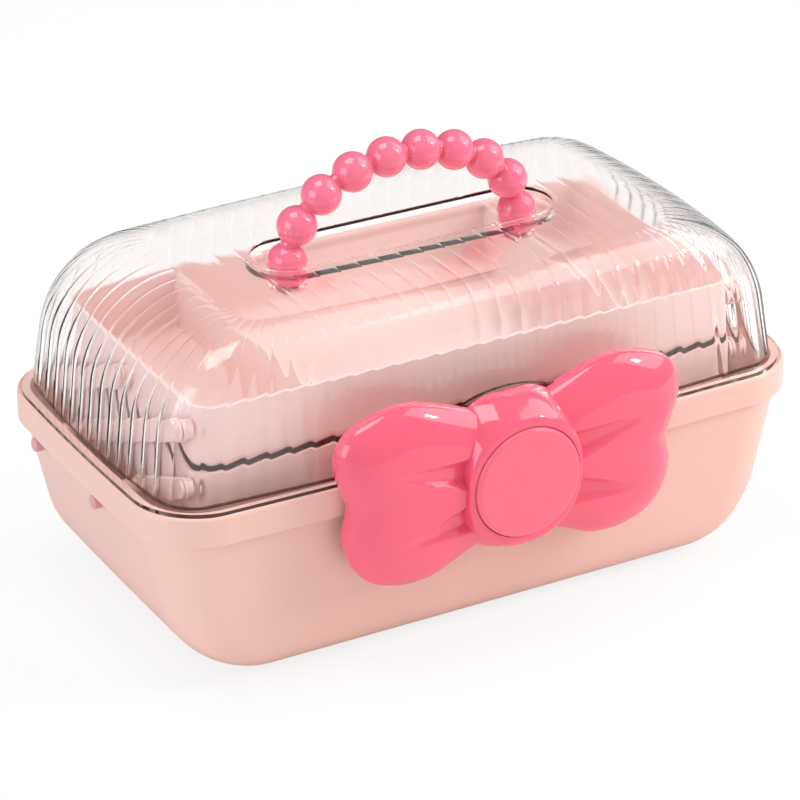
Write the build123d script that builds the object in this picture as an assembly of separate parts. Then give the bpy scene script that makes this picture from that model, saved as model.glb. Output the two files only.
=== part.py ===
from build123d import *
import os
from math import atan2, cos, degrees, pi, radians, sin, sqrt

# Makeup storage case: a deep tub on four feet, a fluted clear lid hinged along the
# back, two trays that swing up on side links with the lid, a bead handle on the lid, and
# a bow on the front whose round middle is the push button of the latch.
# Millimetres and degrees. +X along the length, -Y the front with the bow, +Z up, z = 0
# on the surface that the feet stand on. Everything is modelled about the middle of the
# tub and shifted along Y at the end, so that the origin is under the middle of the case.

# ---------------------------------------------------------------- driving dimensions
# Trays
TRAY_HALF_X = 134.5          # at the rim of a tray
TRAY_HALF_Y = 66.0
TRAY_CORNER = 12.0
TRAY_CORNER_LOSS = 1.0       # how much smaller the corners are at the tray's floor
TRAY_BOW = 0.6               # how far each wall bulges outwards between its corners
TRAY_DRAFT = 0.05
TRAY_WALL = 1.8
TRAY_EDGE_ROUND = 5.0
UPPER_TRAY_TOP_Z = 129.8
UPPER_TRAY_HEIGHT = 29.6
TRAY_GAP = 0.9               # between the two trays when the case is shut
LOWER_TRAY_HEIGHT = 26.5
DIVIDER_THICKNESS = 1.6
DIVIDER_GAP = 0.3
FIXED_WALL_X = 79.0          # cross walls moulded in the upper tray
LOWER_DIVIDER_X = 45.0       # loose cross dividers of the lower tray
DIVIDER_RAIL = 1.6
DIVIDER_RAIL_DEPTH = 3.5     # from the tray's wall inwards
DIVIDER_LOW = 3.0            # top edge of the walls below the tray's rim

# Tray linkage, on both ends of the case
BASE_PIN_Z = 73.5
BASE_BACK_PIN_Y = 42.5
BASE_PIN_SPACING = 60.3
LINK_ANGLE = 24.6            # slope of the links when the case is shut
LOWER_LINK_LENGTH = 44.3     # tub pivot to lower tray pivot
UPPER_LINK_LENGTH = 65.1     # lower tray pivot to upper tray pivot
UPPER_PIN_SPACING = 57.0
LINK_WIDTH = 10.0
LINK_THICKNESS = 2.2
LINK_EDGE = 0.5              # bevel of a link's outer edge
LINK_TRAY_GAP = 2.0          # between a tray's rim and the links
LINK_PIN_RADIUS = 2.5
LINK_PIN_ROOT_RADIUS = 1.9   # part of a tray's pin that is pressed in the boss
LINK_PIN_HEAD_RADIUS = 4.2
LINK_PIN_HEAD = 1.5
LINK_PIN_HEAD_ROUND = 0.9
LINK_SIDE_GAP = 0.3
RUNNING_GAP = 0.08           # radial clearance of a pin that turns
OPEN_PIVOT_GAP = 0.2         # radial clearance where the closed linkage is left open
PIVOT_BOSS_RADIUS = 4.5
BASE_PIN_HEAD_RADIUS = 3.0
BASE_PIN_HEAD = 2.2
BASE_PIN_HEAD_ROUND = 1.3
BASE_PIN_END_RADIUS = 3.4
BASE_PIN_END = 0.8

# Tub and the band round its rim
RIM_Z = 90.0                 # top of the tub's rim
TUB_END_ROOM = 24.1          # from a tray's rim to the outside of the tub's end, for the links
TUB_SIDE_ROOM = 17.4         # from a tray's rim to the outside of the tub's front or back
TUB_CORNER = 27.2
TUB_CORNER_LOSS = 0.233      # corner radius lost per millimetre that the walls are drawn in
TUB_WALL = 2.4
TUB_END_DRAFT = 0.234        # inward lean of the ends, per millimetre of height
TUB_SIDE_DRAFT = 0.082
TUB_END_ROUND = 33.5         # rounding between the ends and the floor
TUB_SIDE_ROUND = 14.8
SIDE_BOW = 2.3               # how far each side bulges outwards between its corners
FLOOR_BOW = 0.2              # the same at the floor
BAND_HEIGHT = 13.6
BAND_REACH = 3.3             # how far the band stands out from the tub
BAND_SKIN = 1.8
BAND_EDGE_ROUND = 2.2
FOOT_HEIGHT = 2.0            # how far the feet stand below the tub
FOOT_RADIUS = 8.0
FOOT_SINK = 1.2
FOOT_EDGE_ROUND = 0.8
FOOT_FROM_END = 49.6         # middle of a foot from the outside of the tub's end, at the band
FOOT_FROM_SIDE = 32.4
SEAT_GAP = 0.1               # under the head of a screw, round and over a foot

# Lid
LID_HEIGHT = 68.8            # top of the lid above the rim
LID_CORNER = 15.2
LID_CORNER_LOSS = 0.11       # corner radius lost per millimetre that the walls are drawn in
LID_BOW = 5.4
LID_WALL = 2.0
LID_END_DRAFT = 0.11
LID_SIDE_DRAFT = 0.13
LID_END_ROUND = 40.2
LID_SIDE_ROUND = 16.1
FLANGE_THICKNESS = 2.2
FLANGE_SINK = 1.0            # depth of the rebate in the rim that the flange lies in
FLANGE_GAP = 0.4
FLANGE_END_WIDTH = 4.8       # from the dome's foot to the flange's edge
FLANGE_SIDE_WIDTH = 2.6
BAND_LIP = 1.2               # rim left outside the rebate
RIM_CLEARANCE = 0.4          # under the arms of the lid that reach over the rim

# Lid hinges
HINGE_X = 86.0               # middle of each hinge
HINGE_BARREL_RADIUS = 4.5
HINGE_PIN_RADIUS = 1.6
HINGE_DROP = 2.0             # axis below the top of the rim
HINGE_BACK_GAP = 0.5         # barrel clear of the band
HINGE_KNUCKLE = 14.0         # length of each knuckle
HINGE_KNUCKLE_GAP = 0.4
HINGE_WEB_LOW = 2.0          # foot of the tub's hinge webs above the band's lower edge

# Handle
HANDLE_HALF_SPAN = 57.6      # posts from the middle of the lid
HANDLE_RISE = 39.5           # centre line of the arch above its feet
BEAD_RADIUS = 9.0
BEAD_COUNT = 8               # whole beads, besides the half bead on each post
BEAD_NECK_RADIUS = 4.0
POST_RADIUS = 6.0
POST_LENGTH = 10.0
POST_GAP = 0.1
SOCKET_WALL = 2.0
SOCKET_FLOOR = 2.0
RECESS_DEPTH = 4.2
RECESS_RADIUS = 16.0
HANDLE_SCREW_RADIUS = 1.5
HANDLE_SCREW_HEAD_RADIUS = 3.4
HANDLE_SCREW_HEAD = 2.0
HANDLE_SCREW_LENGTH = 9.0
SCREW_HOLE_GAP = 0.2
SCREW_HEAD_ROUND = 1.0

# Bow, on the front of the tub
BOW_GAP = 1.6                # between the band and the back of the bow
BOW_Z = 82.5                 # middle height of the bow
BOW_HALF_X = 84.0
BOW_HALF_Z = 42.5
BOW_DEPTH = 17.5
BOW_WALL = 2.4
# Edge of the right loop, as shares of the two half sizes: round from the knot's top side
LOOP_POINTS = (
    (0.05, 0.57), (0.19, 0.72), (0.37, 0.87), (0.53, 0.97), (0.66, 0.99), (0.79, 0.94),
    (0.91, 0.84), (0.98, 0.68), (1.00, 0.45), (0.965, 0.20), (0.94, 0.0), (0.97, -0.17),
    (0.99, -0.33), (0.975, -0.52), (0.92, -0.71), (0.81, -0.89), (0.68, -0.98), (0.57, -1.00),
    (0.46, -0.97), (0.32, -0.85), (0.19, -0.74), (0.05, -0.61))
LOOP_MIDDLE = 0.55           # point that a loop draws in towards, as a share of the half length
# Swelling of a loop: share of its depth, share of its outline
LOOP_STATIONS = (
    (0.0, 0.97), (0.25, 1.0), (0.5, 0.985), (0.72, 0.93), (0.88, 0.83), (0.965, 0.7), (1.0, 0.52))
# Fold creases of a loop: upper and lower edge at the knot and the tip, from the bow's middle
CREASES = ((13.5, 4.5, 60.0, 15.6), (-8.5, -17.0, 57.0, -18.0))
CREASE_DEPTH = 4.0           # at the knot
CREASE_TIP = 0.3             # depth and half width of a crease's tip
KNOT_HALF_X = 27.8
KNOT_HALF_Z = 36.0           # at the back of the knot
KNOT_FRONT_HALF_Z = 29.0     # at its front
KNOT_BULGE = 2.0             # of the knot's top and bottom beyond a straight slope
KNOT_CORNER = 20.0           # at the back of the knot
KNOT_FRONT_CORNER = 26.5
KNOT_STATIONS = 4            # spans of the knot's form between its back and its front
KNOT_EDGE_ROUND = 1.4
KNOT_DEPTH = 20.0
PLATE_THICKNESS = 1.8
PLATE_GAP = 0.3
BOW_SCREW_X = 50.0
BOW_SCREW_Z = 82.0
BOW_SCREW_LOW_Z = 64.0
BOW_SCREW_RADIUS = 1.5
BOW_SCREW_HEAD_RADIUS = 3.2
BOW_SCREW_HEAD = 2.0
BOW_BOSS_RADIUS = 4.0
BOW_SCREW_BITE = 10.0        # length of the screw inside the bow's boss

# Latch
BUTTON_RADIUS = 25.5
BUTTON_GAP = 0.4
BUTTON_PROUD = 2.0           # front of the button before the knot
BUTTON_EDGE_ROUND = 2.2
BUTTON_TRAVEL = 3.0
BUTTON_WALL = 2.4
SLEEVE_DEPTH = 11.0          # from the bow's back to the sleeve that guides the button
SLEEVE_WALL = 1.5
BUTTON_LIP = 1.6
BUTTON_LIP_THICKNESS = 1.5
PLUNGER_Z = 71.0
PLUNGER_RADIUS = 2.2
TONGUE_PUSH = 1.2            # how far the plunger pushes the catch at the end of its travel
SPRING_X = 17.0
SPRING_Z = 78.0
SPRING_RADIUS = 1.9
SPRING_WIRE = 0.35
SPRING_TURNS = 6
SPRING_GAP = 0.1             # at both ends of a spring
HASP_HALF_X = 23.0           # clear thumb tab that stands up behind the knot
HASP_TOP_Z = 119.6
HASP_ARCH = 4.6              # how far the tab's top edge falls towards its sides
HASP_THICKNESS = 1.8
HASP_GAP = 0.7               # between the hasp and the band
HASP_SLOT_GAP = 0.6          # round the hasp, in the bow
HASP_BRIDGE = 2.0            # thickness of the web from the dome's foot to the hasp
HASP_TAIL_HALF_X = 10.0
HASP_TAIL_LOW_Z = 74.0
HASP_LIP = 1.8
HASP_LIP_HEIGHT = 2.4
TONGUE_FOOT_HALF_X = 17.0
TONGUE_HALF_X = 9.0
TONGUE_THICKNESS = 1.4
TONGUE_LOW_Z = 59.0
TONGUE_SEAT_Z = 67.0         # top of the foot of the catch and of its seat
TONGUE_TOP_Z = 82.0
TONGUE_CORNER = 2.0
TONGUE_NOSE_HALF_X = 8.0
TONGUE_NOSE_HEIGHT = 3.0
TONGUE_NOSE_EDGE = 0.8
TONGUE_NOSE_GAP = 0.4
TONGUE_BITE = 1.4            # how far the nose reaches over the hasp's lip
TONGUE_SCREW_X = 11.0
TONGUE_SCREW_RADIUS = 1.2
TONGUE_SCREW_HEAD_RADIUS = 2.4
TONGUE_SCREW_HEAD = 1.2
TONGUE_SCREW_HEAD_ROUND = 0.6
TONGUE_SCREW_BITE = 3.0
TONGUE_SCREW_TIP_GAP = 1.0
TONGUE_INSET = 1.5           # front of the catch behind the face of the band
TONGUE_BACK_ROOM = 3.4       # room behind the catch for its bending
LATCH_POCKET_GAP = 2.0       # beside the hasp's tail and round the plunger

# Modelling allowances
OVER = 1.0                   # how far a cutting shape reaches past the face it opens
WELD = 0.1                   # overlap of two shapes that are joined in one piece

# ---------------------------------------------------------------- worked-out sizes
TUB_FLOOR_Z = FOOT_HEIGHT
TUB_HALF_X = TRAY_HALF_X + TUB_END_ROOM
TUB_HALF_Y = TRAY_HALF_Y + TUB_SIDE_ROOM
BAND_LOW_Z = RIM_Z - BAND_HEIGHT
BAND_HALF_X = TUB_HALF_X + BAND_REACH
BAND_HALF_Y = TUB_HALF_Y + BAND_REACH
BAND_CORNER = TUB_CORNER + BAND_REACH
FOOT_X = TUB_HALF_X - FOOT_FROM_END
FOOT_Y = TUB_HALF_Y - FOOT_FROM_SIDE
REBATE_HALF_X = BAND_HALF_X - BAND_LIP
REBATE_HALF_Y = BAND_HALF_Y - BAND_LIP
REBATE_CORNER = BAND_CORNER - BAND_LIP
FLANGE_HALF_X = REBATE_HALF_X - FLANGE_GAP
FLANGE_HALF_Y = REBATE_HALF_Y - FLANGE_GAP
FLANGE_CORNER = REBATE_CORNER - FLANGE_GAP
LID_HALF_X = FLANGE_HALF_X - FLANGE_END_WIDTH
LID_HALF_Y = FLANGE_HALF_Y - FLANGE_SIDE_WIDTH
LID_FOOT_Z = RIM_Z - FLANGE_SINK
LID_TOP_Z = RIM_Z + LID_HEIGHT
RECESS_Z = LID_TOP_Z - RECESS_DEPTH
HINGE_Y = BAND_HALF_Y + HINGE_BARREL_RADIUS + HINGE_BACK_GAP
HINGE_Z = RIM_Z - HINGE_DROP
UPPER_TRAY_LOW_Z = UPPER_TRAY_TOP_Z - UPPER_TRAY_HEIGHT
LOWER_TRAY_TOP_Z = UPPER_TRAY_LOW_Z - TRAY_GAP
LINK_INNER_X = TRAY_HALF_X + LINK_TRAY_GAP
LINK_OUTER_X = LINK_INNER_X + LINK_THICKNESS
LINK_RISE = sin(radians(LINK_ANGLE))
LINK_REACH = cos(radians(LINK_ANGLE))
TONGUE_FRONT_Y = -BAND_HALF_Y + TONGUE_INSET
TONGUE_BACK_Y = TONGUE_FRONT_Y + TONGUE_THICKNESS
TONGUE_SCREW_Z = (TONGUE_LOW_Z + TONGUE_SEAT_Z) / 2
HASP_BACK_Y = -BAND_HALF_Y - HASP_GAP
BOW_BACK_Y = -BAND_HALF_Y - BOW_GAP
FRONT_Y = BOW_BACK_Y - KNOT_DEPTH - BUTTON_PROUD
BACK_Y = HINGE_Y + HINGE_BARREL_RADIUS
SHIFT_Y = -(FRONT_Y + BACK_Y) / 2


def link_point(start, length):
    """Far end of a link of this length that starts at a (y, z) pivot."""
    return (start[0] - length * LINK_REACH, start[1] + length * LINK_RISE)


# Pivots of the linkage as (y, z)
BASE_BACK = (BASE_BACK_PIN_Y, BASE_PIN_Z)
BASE_FRONT = (BASE_BACK_PIN_Y - BASE_PIN_SPACING, BASE_PIN_Z)
LOWER_MIDDLE = link_point(BASE_BACK, LOWER_LINK_LENGTH)
LOWER_FRONT = link_point(BASE_FRONT, LOWER_LINK_LENGTH)
LOWER_BACK = (LOWER_MIDDLE[0] + UPPER_PIN_SPACING, LOWER_MIDDLE[1])
UPPER_FRONT = link_point(LOWER_MIDDLE, UPPER_LINK_LENGTH)
UPPER_BACK = link_point(LOWER_BACK, UPPER_LINK_LENGTH)


# ---------------------------------------------------------------- shared shapes
UPWARDS = (Align.CENTER, Align.CENTER, Align.MIN)     # a cylinder that stands on its point
DOWNWARDS = (Align.CENTER, Align.CENTER, Align.MAX)   # a cylinder that hangs from its point


def outline(half_x, half_y, corner, bow):
    """Rounded rectangle whose four sides bulge outwards by bow."""
    x, y = half_x - bow, half_y - bow
    sides = [
        ThreePointArc((-x, -y), (0, -half_y), (x, -y)),
        ThreePointArc((x, -y), (half_x, 0), (x, y)),
        ThreePointArc((x, y), (0, half_y), (-x, y)),
        ThreePointArc((-x, y), (-half_x, 0), (-x, -y)),
    ]
    face = make_face(sides)
    return fillet(face.vertices(), corner)


def slab(half_x, half_y, corner, bow, low_z, high_z):
    """Upright plate or block with the bowed outline."""
    return Pos(0, 0, low_z) * extrude(outline(half_x, half_y, corner, bow), high_z - low_z)


def rounding(height, radius):
    """How far a rounded edge has drawn in at a height above its flat side."""
    if height >= radius:
        return 0.0
    return radius - sqrt(radius ** 2 - (radius - height) ** 2)


def rod_x(radius, start_x, end_x, y, z):
    """Round rod along X."""
    length = abs(end_x - start_x)
    return Pos((start_x + end_x) / 2, y, z) * Rot(0, 90, 0) * Cylinder(radius, length)


def rod_y(radius, start_y, end_y, x, z):
    """Round rod along Y."""
    length = abs(end_y - start_y)
    return Pos(x, (start_y + end_y) / 2, z) * Rot(90, 0, 0) * Cylinder(radius, length)


def block(low, high):
    """Box between two corners."""
    size = [b - a for a, b in zip(low, high)]
    middle = [(a + b) / 2 for a, b in zip(low, high)]
    return Pos(*middle) * Box(*size)


def both_ends(shape):
    """The shape on the right end of the case and its mirror image on the left end."""
    return [shape, mirror(shape, about=Plane.YZ)]


# ---------------------------------------------------------------- tub
def tub_form(inset, floor_z, top_z):
    """The tub's outer form, drawn in by inset: leaning walls and a rounded floor edge."""
    end_round = TUB_END_ROUND - inset
    side_round = TUB_SIDE_ROUND - inset
    steps = 6
    heights = [floor_z + end_round * (1 - cos(pi / 2 * i / steps)) for i in range(steps + 1)]
    sections = []
    for z in heights + [BAND_LOW_Z]:
        lean = BAND_LOW_Z - z
        end_in = TUB_END_DRAFT * lean + rounding(z - floor_z, end_round)
        side_in = TUB_SIDE_DRAFT * lean + rounding(z - floor_z, side_round)
        corner = TUB_CORNER - TUB_CORNER_LOSS * (end_in + side_in) - inset
        bow = FLOOR_BOW + (SIDE_BOW - FLOOR_BOW) * (z - floor_z) / (BAND_LOW_Z - floor_z)
        face = outline(TUB_HALF_X - end_in - inset, TUB_HALF_Y - side_in - inset, corner, bow)
        sections.append(Pos(0, 0, z) * face)
    top = slab(TUB_HALF_X - inset, TUB_HALF_Y - inset, TUB_CORNER - inset, SIDE_BOW, BAND_LOW_Z, top_z)
    return loft(sections[:-1]) + loft(sections[-2:], ruled=True) + top


def tub_wall_y(z):
    """Outside of the tub's front wall at a height, at the middle of the front."""
    return -(TUB_HALF_Y - TUB_SIDE_DRAFT * max(0.0, BAND_LOW_Z - z))


def tub_wall_x(z):
    """Outside of the tub's right end wall at a height."""
    return TUB_HALF_X - TUB_END_DRAFT * max(0.0, BAND_LOW_Z - z)


def add_latch_seat(tub):
    """Seat of the catch on the tub's front, and the pocket behind it for its bending."""
    half = HASP_TAIL_HALF_X + LATCH_POCKET_GAP
    back = TONGUE_BACK_Y + TONGUE_BACK_ROOM
    low_wall = tub_wall_y(TONGUE_LOW_Z)
    top_z = RIM_Z - FLANGE_SINK
    tub += block((-half - BAND_SKIN, -BAND_HALF_Y + OVER, BAND_LOW_Z),
                 (half + BAND_SKIN, -TUB_HALF_Y + OVER, top_z))
    tub += block((-TONGUE_FOOT_HALF_X, TONGUE_BACK_Y, TONGUE_LOW_Z),
                 (TONGUE_FOOT_HALF_X, low_wall + OVER, TONGUE_SEAT_Z))
    tub += block((-TONGUE_FOOT_HALF_X, low_wall + TUB_WALL / 4, TONGUE_LOW_Z),
                 (TONGUE_FOOT_HALF_X, back + TUB_WALL, top_z))
    return tub - block((-half, -BAND_HALF_Y - OVER, TONGUE_SEAT_Z), (half, back, RIM_Z + OVER))


def make_tub():
    """Tub with its hollow band, rebate, hinge knuckles, pivot bosses and latch seat."""
    band = slab(BAND_HALF_X, BAND_HALF_Y, BAND_CORNER, SIDE_BOW, BAND_LOW_Z, RIM_Z)
    band = fillet(band.edges().group_by(Axis.Z)[-1], BAND_EDGE_ROUND)
    groove = slab(BAND_HALF_X - BAND_SKIN, BAND_HALF_Y - BAND_SKIN, BAND_CORNER - BAND_SKIN,
                  SIDE_BOW, BAND_LOW_Z, RIM_Z - FLANGE_SINK - BAND_SKIN)
    tub = band - groove + tub_form(0, TUB_FLOOR_Z, RIM_Z)

    # Solid places for the bow's screws, and webs and knuckles of the hinges.
    for x in (-BOW_SCREW_X, BOW_SCREW_X):
        for z in (BOW_SCREW_Z, BOW_SCREW_LOW_Z):
            tub += rod_y(BOW_BOSS_RADIUS, BOW_BACK_Y, tub_wall_y(z) + OVER, x, z)
    for x in (-HINGE_X, HINGE_X):
        for side in (-1, 1):
            middle = x + side * (HINGE_KNUCKLE + HINGE_KNUCKLE_GAP)
            ends = (middle - HINGE_KNUCKLE / 2, middle + HINGE_KNUCKLE / 2)
            tub += rod_x(HINGE_BARREL_RADIUS, *ends, HINGE_Y, HINGE_Z)
            tub += block((ends[0], BAND_HALF_Y - BAND_SKIN, BAND_LOW_Z + HINGE_WEB_LOW),
                         (ends[1], HINGE_Y, HINGE_Z))
    tub -= slab(REBATE_HALF_X, REBATE_HALF_Y, REBATE_CORNER, SIDE_BOW, RIM_Z - FLANGE_SINK, RIM_Z + OVER)
    tub -= tub_form(TUB_WALL, TUB_FLOOR_Z + TUB_WALL, RIM_Z + OVER)
    tub = add_latch_seat(tub)

    # Bosses for the link pins, inside both ends.
    for y, z in (BASE_BACK, BASE_FRONT):
        boss = rod_x(PIVOT_BOSS_RADIUS, LINK_OUTER_X + LINK_SIDE_GAP, tub_wall_x(z) - OVER, y, z)
        hole = rod_x(LINK_PIN_RADIUS, LINK_OUTER_X, BAND_HALF_X, y, z)
        for piece in both_ends(boss):
            tub += piece
        for piece in both_ends(hole):
            tub -= piece
    for x in (-HINGE_X, HINGE_X):
        reach = 2 * HINGE_KNUCKLE
        tub -= rod_x(HINGE_PIN_RADIUS, x - reach, x + reach, HINGE_Y, HINGE_Z)
    for x in (-BOW_SCREW_X, BOW_SCREW_X):
        for z in (BOW_SCREW_Z, BOW_SCREW_LOW_Z):
            tub -= rod_y(BOW_SCREW_RADIUS + SCREW_HOLE_GAP, BOW_BACK_Y, -TUB_HALF_Y / 2, x, z)
    for x in (-TONGUE_SCREW_X, TONGUE_SCREW_X):
        tip = TONGUE_BACK_Y + TONGUE_SCREW_BITE + TONGUE_SCREW_TIP_GAP
        tub -= rod_y(TONGUE_SCREW_RADIUS, TONGUE_BACK_Y, tip, x, TONGUE_SCREW_Z)
    for x in (-FOOT_X, FOOT_X):
        for y in (-FOOT_Y, FOOT_Y):
            seat = Cylinder(FOOT_RADIUS + SEAT_GAP, TUB_FLOOR_Z + FOOT_SINK + SEAT_GAP, align=UPWARDS)
            tub -= Pos(x, y, 0) * seat
    return tub


def make_feet():
    """Four round rubber pads pressed into shallow seats under the tub."""
    pad = Cylinder(FOOT_RADIUS, FOOT_HEIGHT + FOOT_SINK, align=UPWARDS)
    pad = fillet(pad.edges().group_by(Axis.Z)[0], FOOT_EDGE_ROUND)
    return [Pos(x, y, 0) * pad for x in (-FOOT_X, FOOT_X) for y in (-FOOT_Y, FOOT_Y)]


# ---------------------------------------------------------------- lid
def lid_form(inset):
    """Domed form of the lid, drawn in by inset."""
    top = LID_HEIGHT - inset
    end_round = LID_END_ROUND - inset
    side_round = LID_SIDE_ROUND - inset
    steps = 6
    heights = [top - end_round * (1 - sin(pi / 2 * i / steps)) for i in range(steps + 1)]
    sections = []
    for h in [-FLANGE_SINK] + heights:
        end_in = LID_END_DRAFT * h + rounding(top - h, end_round)
        side_in = LID_SIDE_DRAFT * h + rounding(top - h, side_round)
        corner = LID_CORNER - LID_CORNER_LOSS * (end_in + side_in) - inset
        face = outline(LID_HALF_X - end_in - inset, LID_HALF_Y - side_in - inset, corner, LID_BOW)
        sections.append(Pos(0, 0, RIM_Z + h) * face)
    return loft(sections[:2], ruled=True) + loft(sections[1:])


def make_lid():
    """Clear dome with its flange, handle recess and sockets, hasp and hinge knuckles."""
    flange = slab(FLANGE_HALF_X, FLANGE_HALF_Y, FLANGE_CORNER, SIDE_BOW,
                  LID_FOOT_Z, LID_FOOT_Z + FLANGE_THICKNESS)
    lid = flange + lid_form(0) - lid_form(LID_WALL)

    # Sunk obround that carries the two sockets of the handle.
    recess = SlotCenterToCenter(2 * HANDLE_HALF_SPAN, 2 * RECESS_RADIUS)
    pan = SlotCenterToCenter(2 * HANDLE_HALF_SPAN, 2 * (RECESS_RADIUS + LID_WALL))
    lid += Pos(0, 0, RECESS_Z - LID_WALL) * extrude(pan, LID_WALL + RECESS_DEPTH - LID_WALL / 2)
    lid -= Pos(0, 0, RECESS_Z) * extrude(recess, RECESS_DEPTH + OVER)
    for x in (-HANDLE_HALF_SPAN, HANDLE_HALF_SPAN):
        deep = POST_LENGTH + SOCKET_FLOOR
        lid += Pos(x, 0, RECESS_Z) * Cylinder(POST_RADIUS + POST_GAP + SOCKET_WALL, deep, align=DOWNWARDS)
        lid -= Pos(x, 0, RECESS_Z) * Cylinder(POST_RADIUS + POST_GAP, POST_LENGTH, align=DOWNWARDS)
        lid -= Pos(x, 0, RECESS_Z) * Cylinder(HANDLE_SCREW_RADIUS + SCREW_HOLE_GAP, deep, align=DOWNWARDS)

    # Hasp: arched thumb tab above the flange, and a tail with a lip that the catch holds.
    side_z = HASP_TOP_Z - HASP_ARCH
    tab = Plane.XZ * make_face([
        Line((-HASP_HALF_X, LID_FOOT_Z), (HASP_HALF_X, LID_FOOT_Z)),
        Line((HASP_HALF_X, LID_FOOT_Z), (HASP_HALF_X, side_z)),
        ThreePointArc((HASP_HALF_X, side_z), (0, HASP_TOP_Z), (-HASP_HALF_X, side_z)),
        Line((-HASP_HALF_X, side_z), (-HASP_HALF_X, LID_FOOT_Z)),
    ])
    arm_back = LID_HALF_Y - LID_WALL / 2
    front = HASP_BACK_Y - HASP_THICKNESS
    lid += Pos(0, HASP_BACK_Y, 0) * extrude(tab, HASP_THICKNESS)
    lid += block((-HASP_HALF_X, HASP_BACK_Y - WELD, RIM_Z + RIM_CLEARANCE),
                 (HASP_HALF_X, -arm_back, RIM_Z + RIM_CLEARANCE + HASP_BRIDGE))
    lid += block((-HASP_TAIL_HALF_X, front, HASP_TAIL_LOW_Z),
                 (HASP_TAIL_HALF_X, HASP_BACK_Y, LID_FOOT_Z + OVER))
    lid += block((-HASP_TAIL_HALF_X, HASP_BACK_Y - WELD, HASP_TAIL_LOW_Z),
                 (HASP_TAIL_HALF_X, HASP_BACK_Y + HASP_LIP, HASP_TAIL_LOW_Z + HASP_LIP_HEIGHT))

    # Hinge knuckles on arms that reach over the rim.
    for x in (-HINGE_X, HINGE_X):
        ends = (x - HINGE_KNUCKLE / 2, x + HINGE_KNUCKLE / 2)
        arm_top = HINGE_Z + HINGE_BARREL_RADIUS
        lid += block((ends[0], arm_back - LID_BOW / 2, RIM_Z + RIM_CLEARANCE), (ends[1], HINGE_Y, arm_top))
        lid += rod_x(HINGE_BARREL_RADIUS, *ends, HINGE_Y, HINGE_Z)
        lid -= rod_x(HINGE_PIN_RADIUS + RUNNING_GAP, x - HINGE_KNUCKLE, x + HINGE_KNUCKLE, HINGE_Y, HINGE_Z)
    return lid


def make_hinge_pins():
    """Two steel pins, each pressed in the tub's knuckles and free in the lid's."""
    reach = 1.5 * HINGE_KNUCKLE + HINGE_KNUCKLE_GAP
    return [rod_x(HINGE_PIN_RADIUS, x - reach, x + reach, HINGE_Y, HINGE_Z) for x in (-HINGE_X, HINGE_X)]


# ---------------------------------------------------------------- handle
def make_handle():
    """One moulding: an arch of beads joined by necks, half a bead and a post at each end."""
    arch = EllipticalCenterArc((0, RECESS_Z), HANDLE_HALF_SPAN, HANDLE_RISE, start_angle=0,
                               arc_size=degrees(pi))
    path = Plane.XZ * arch
    steps = BEAD_COUNT + 1
    handle = sweep(Plane(origin=path @ 0, z_dir=path % 0) * Circle(BEAD_NECK_RADIUS), path=path)
    for i in range(1, steps):
        handle += Pos(path @ (i / steps)) * Sphere(BEAD_RADIUS)
    for x in (-HANDLE_HALF_SPAN, HANDLE_HALF_SPAN):
        ball = Pos(x, 0, RECESS_Z) * Sphere(BEAD_RADIUS)
        reach = BEAD_RADIUS + OVER
        under = block((x - reach, -reach, RECESS_Z - reach), (x + reach, reach, RECESS_Z))
        handle += ball - under
        post = Cylinder(POST_RADIUS, POST_LENGTH, align=DOWNWARDS)
        hole = Cylinder(HANDLE_SCREW_RADIUS, HANDLE_SCREW_LENGTH - SOCKET_FLOOR, align=UPWARDS)
        handle += Pos(x, 0, RECESS_Z) * post
        handle -= Pos(x, 0, RECESS_Z - POST_LENGTH) * hole
    return handle


def make_handle_screws():
    """Screws from inside the lid, up through the socket floors into the posts."""
    low = RECESS_Z - POST_LENGTH - SOCKET_FLOOR
    screws = []
    for x in (-HANDLE_HALF_SPAN, HANDLE_HALF_SPAN):
        shank = Cylinder(HANDLE_SCREW_RADIUS, HANDLE_SCREW_LENGTH, align=UPWARDS)
        head = Cylinder(HANDLE_SCREW_HEAD_RADIUS, HANDLE_SCREW_HEAD, align=DOWNWARDS)
        head = fillet(head.edges().group_by(Axis.Z)[0], SCREW_HEAD_ROUND)
        screws.append(Pos(x, 0, low) * (shank + head))
    return screws


# ---------------------------------------------------------------- trays
def tray_form(top_z, height, inset, over=0.0):
    """Solid form of a tray, drawn in by inset: leaning walls and a rounded bottom edge."""
    low_z = top_z - height + inset
    lean = TRAY_DRAFT * (top_z - low_z)
    top = outline(TRAY_HALF_X - inset, TRAY_HALF_Y - inset, TRAY_CORNER - inset, TRAY_BOW)
    low = outline(TRAY_HALF_X - inset - lean, TRAY_HALF_Y - inset - lean,
                  TRAY_CORNER - inset - TRAY_CORNER_LOSS, TRAY_BOW)
    solid = loft([Pos(0, 0, low_z) * low, Pos(0, 0, top_z + over) * top])
    return fillet(solid.edges().group_by(Axis.Z)[0], TRAY_EDGE_ROUND - inset)


def tray_body(top_z, height):
    """Open tray."""
    return tray_form(top_z, height, 0) - tray_form(top_z, height, TRAY_WALL, over=WELD)


def pivot_bosses(tray, pivots, top_z):
    """Adds the round bosses on the ends of a tray that its link pins are pressed into."""
    for y, z in pivots:
        wall = TRAY_HALF_X - TRAY_DRAFT * (top_z - z)
        boss = rod_x(PIVOT_BOSS_RADIUS, wall - TRAY_WALL / 2, LINK_INNER_X - LINK_SIDE_GAP, y, z)
        hole = rod_x(LINK_PIN_ROOT_RADIUS, wall - TRAY_WALL / 2, LINK_INNER_X, y, z)
        for piece in both_ends(boss):
            tray += piece
        for piece in both_ends(hole):
            tray -= piece
    return tray


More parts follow.
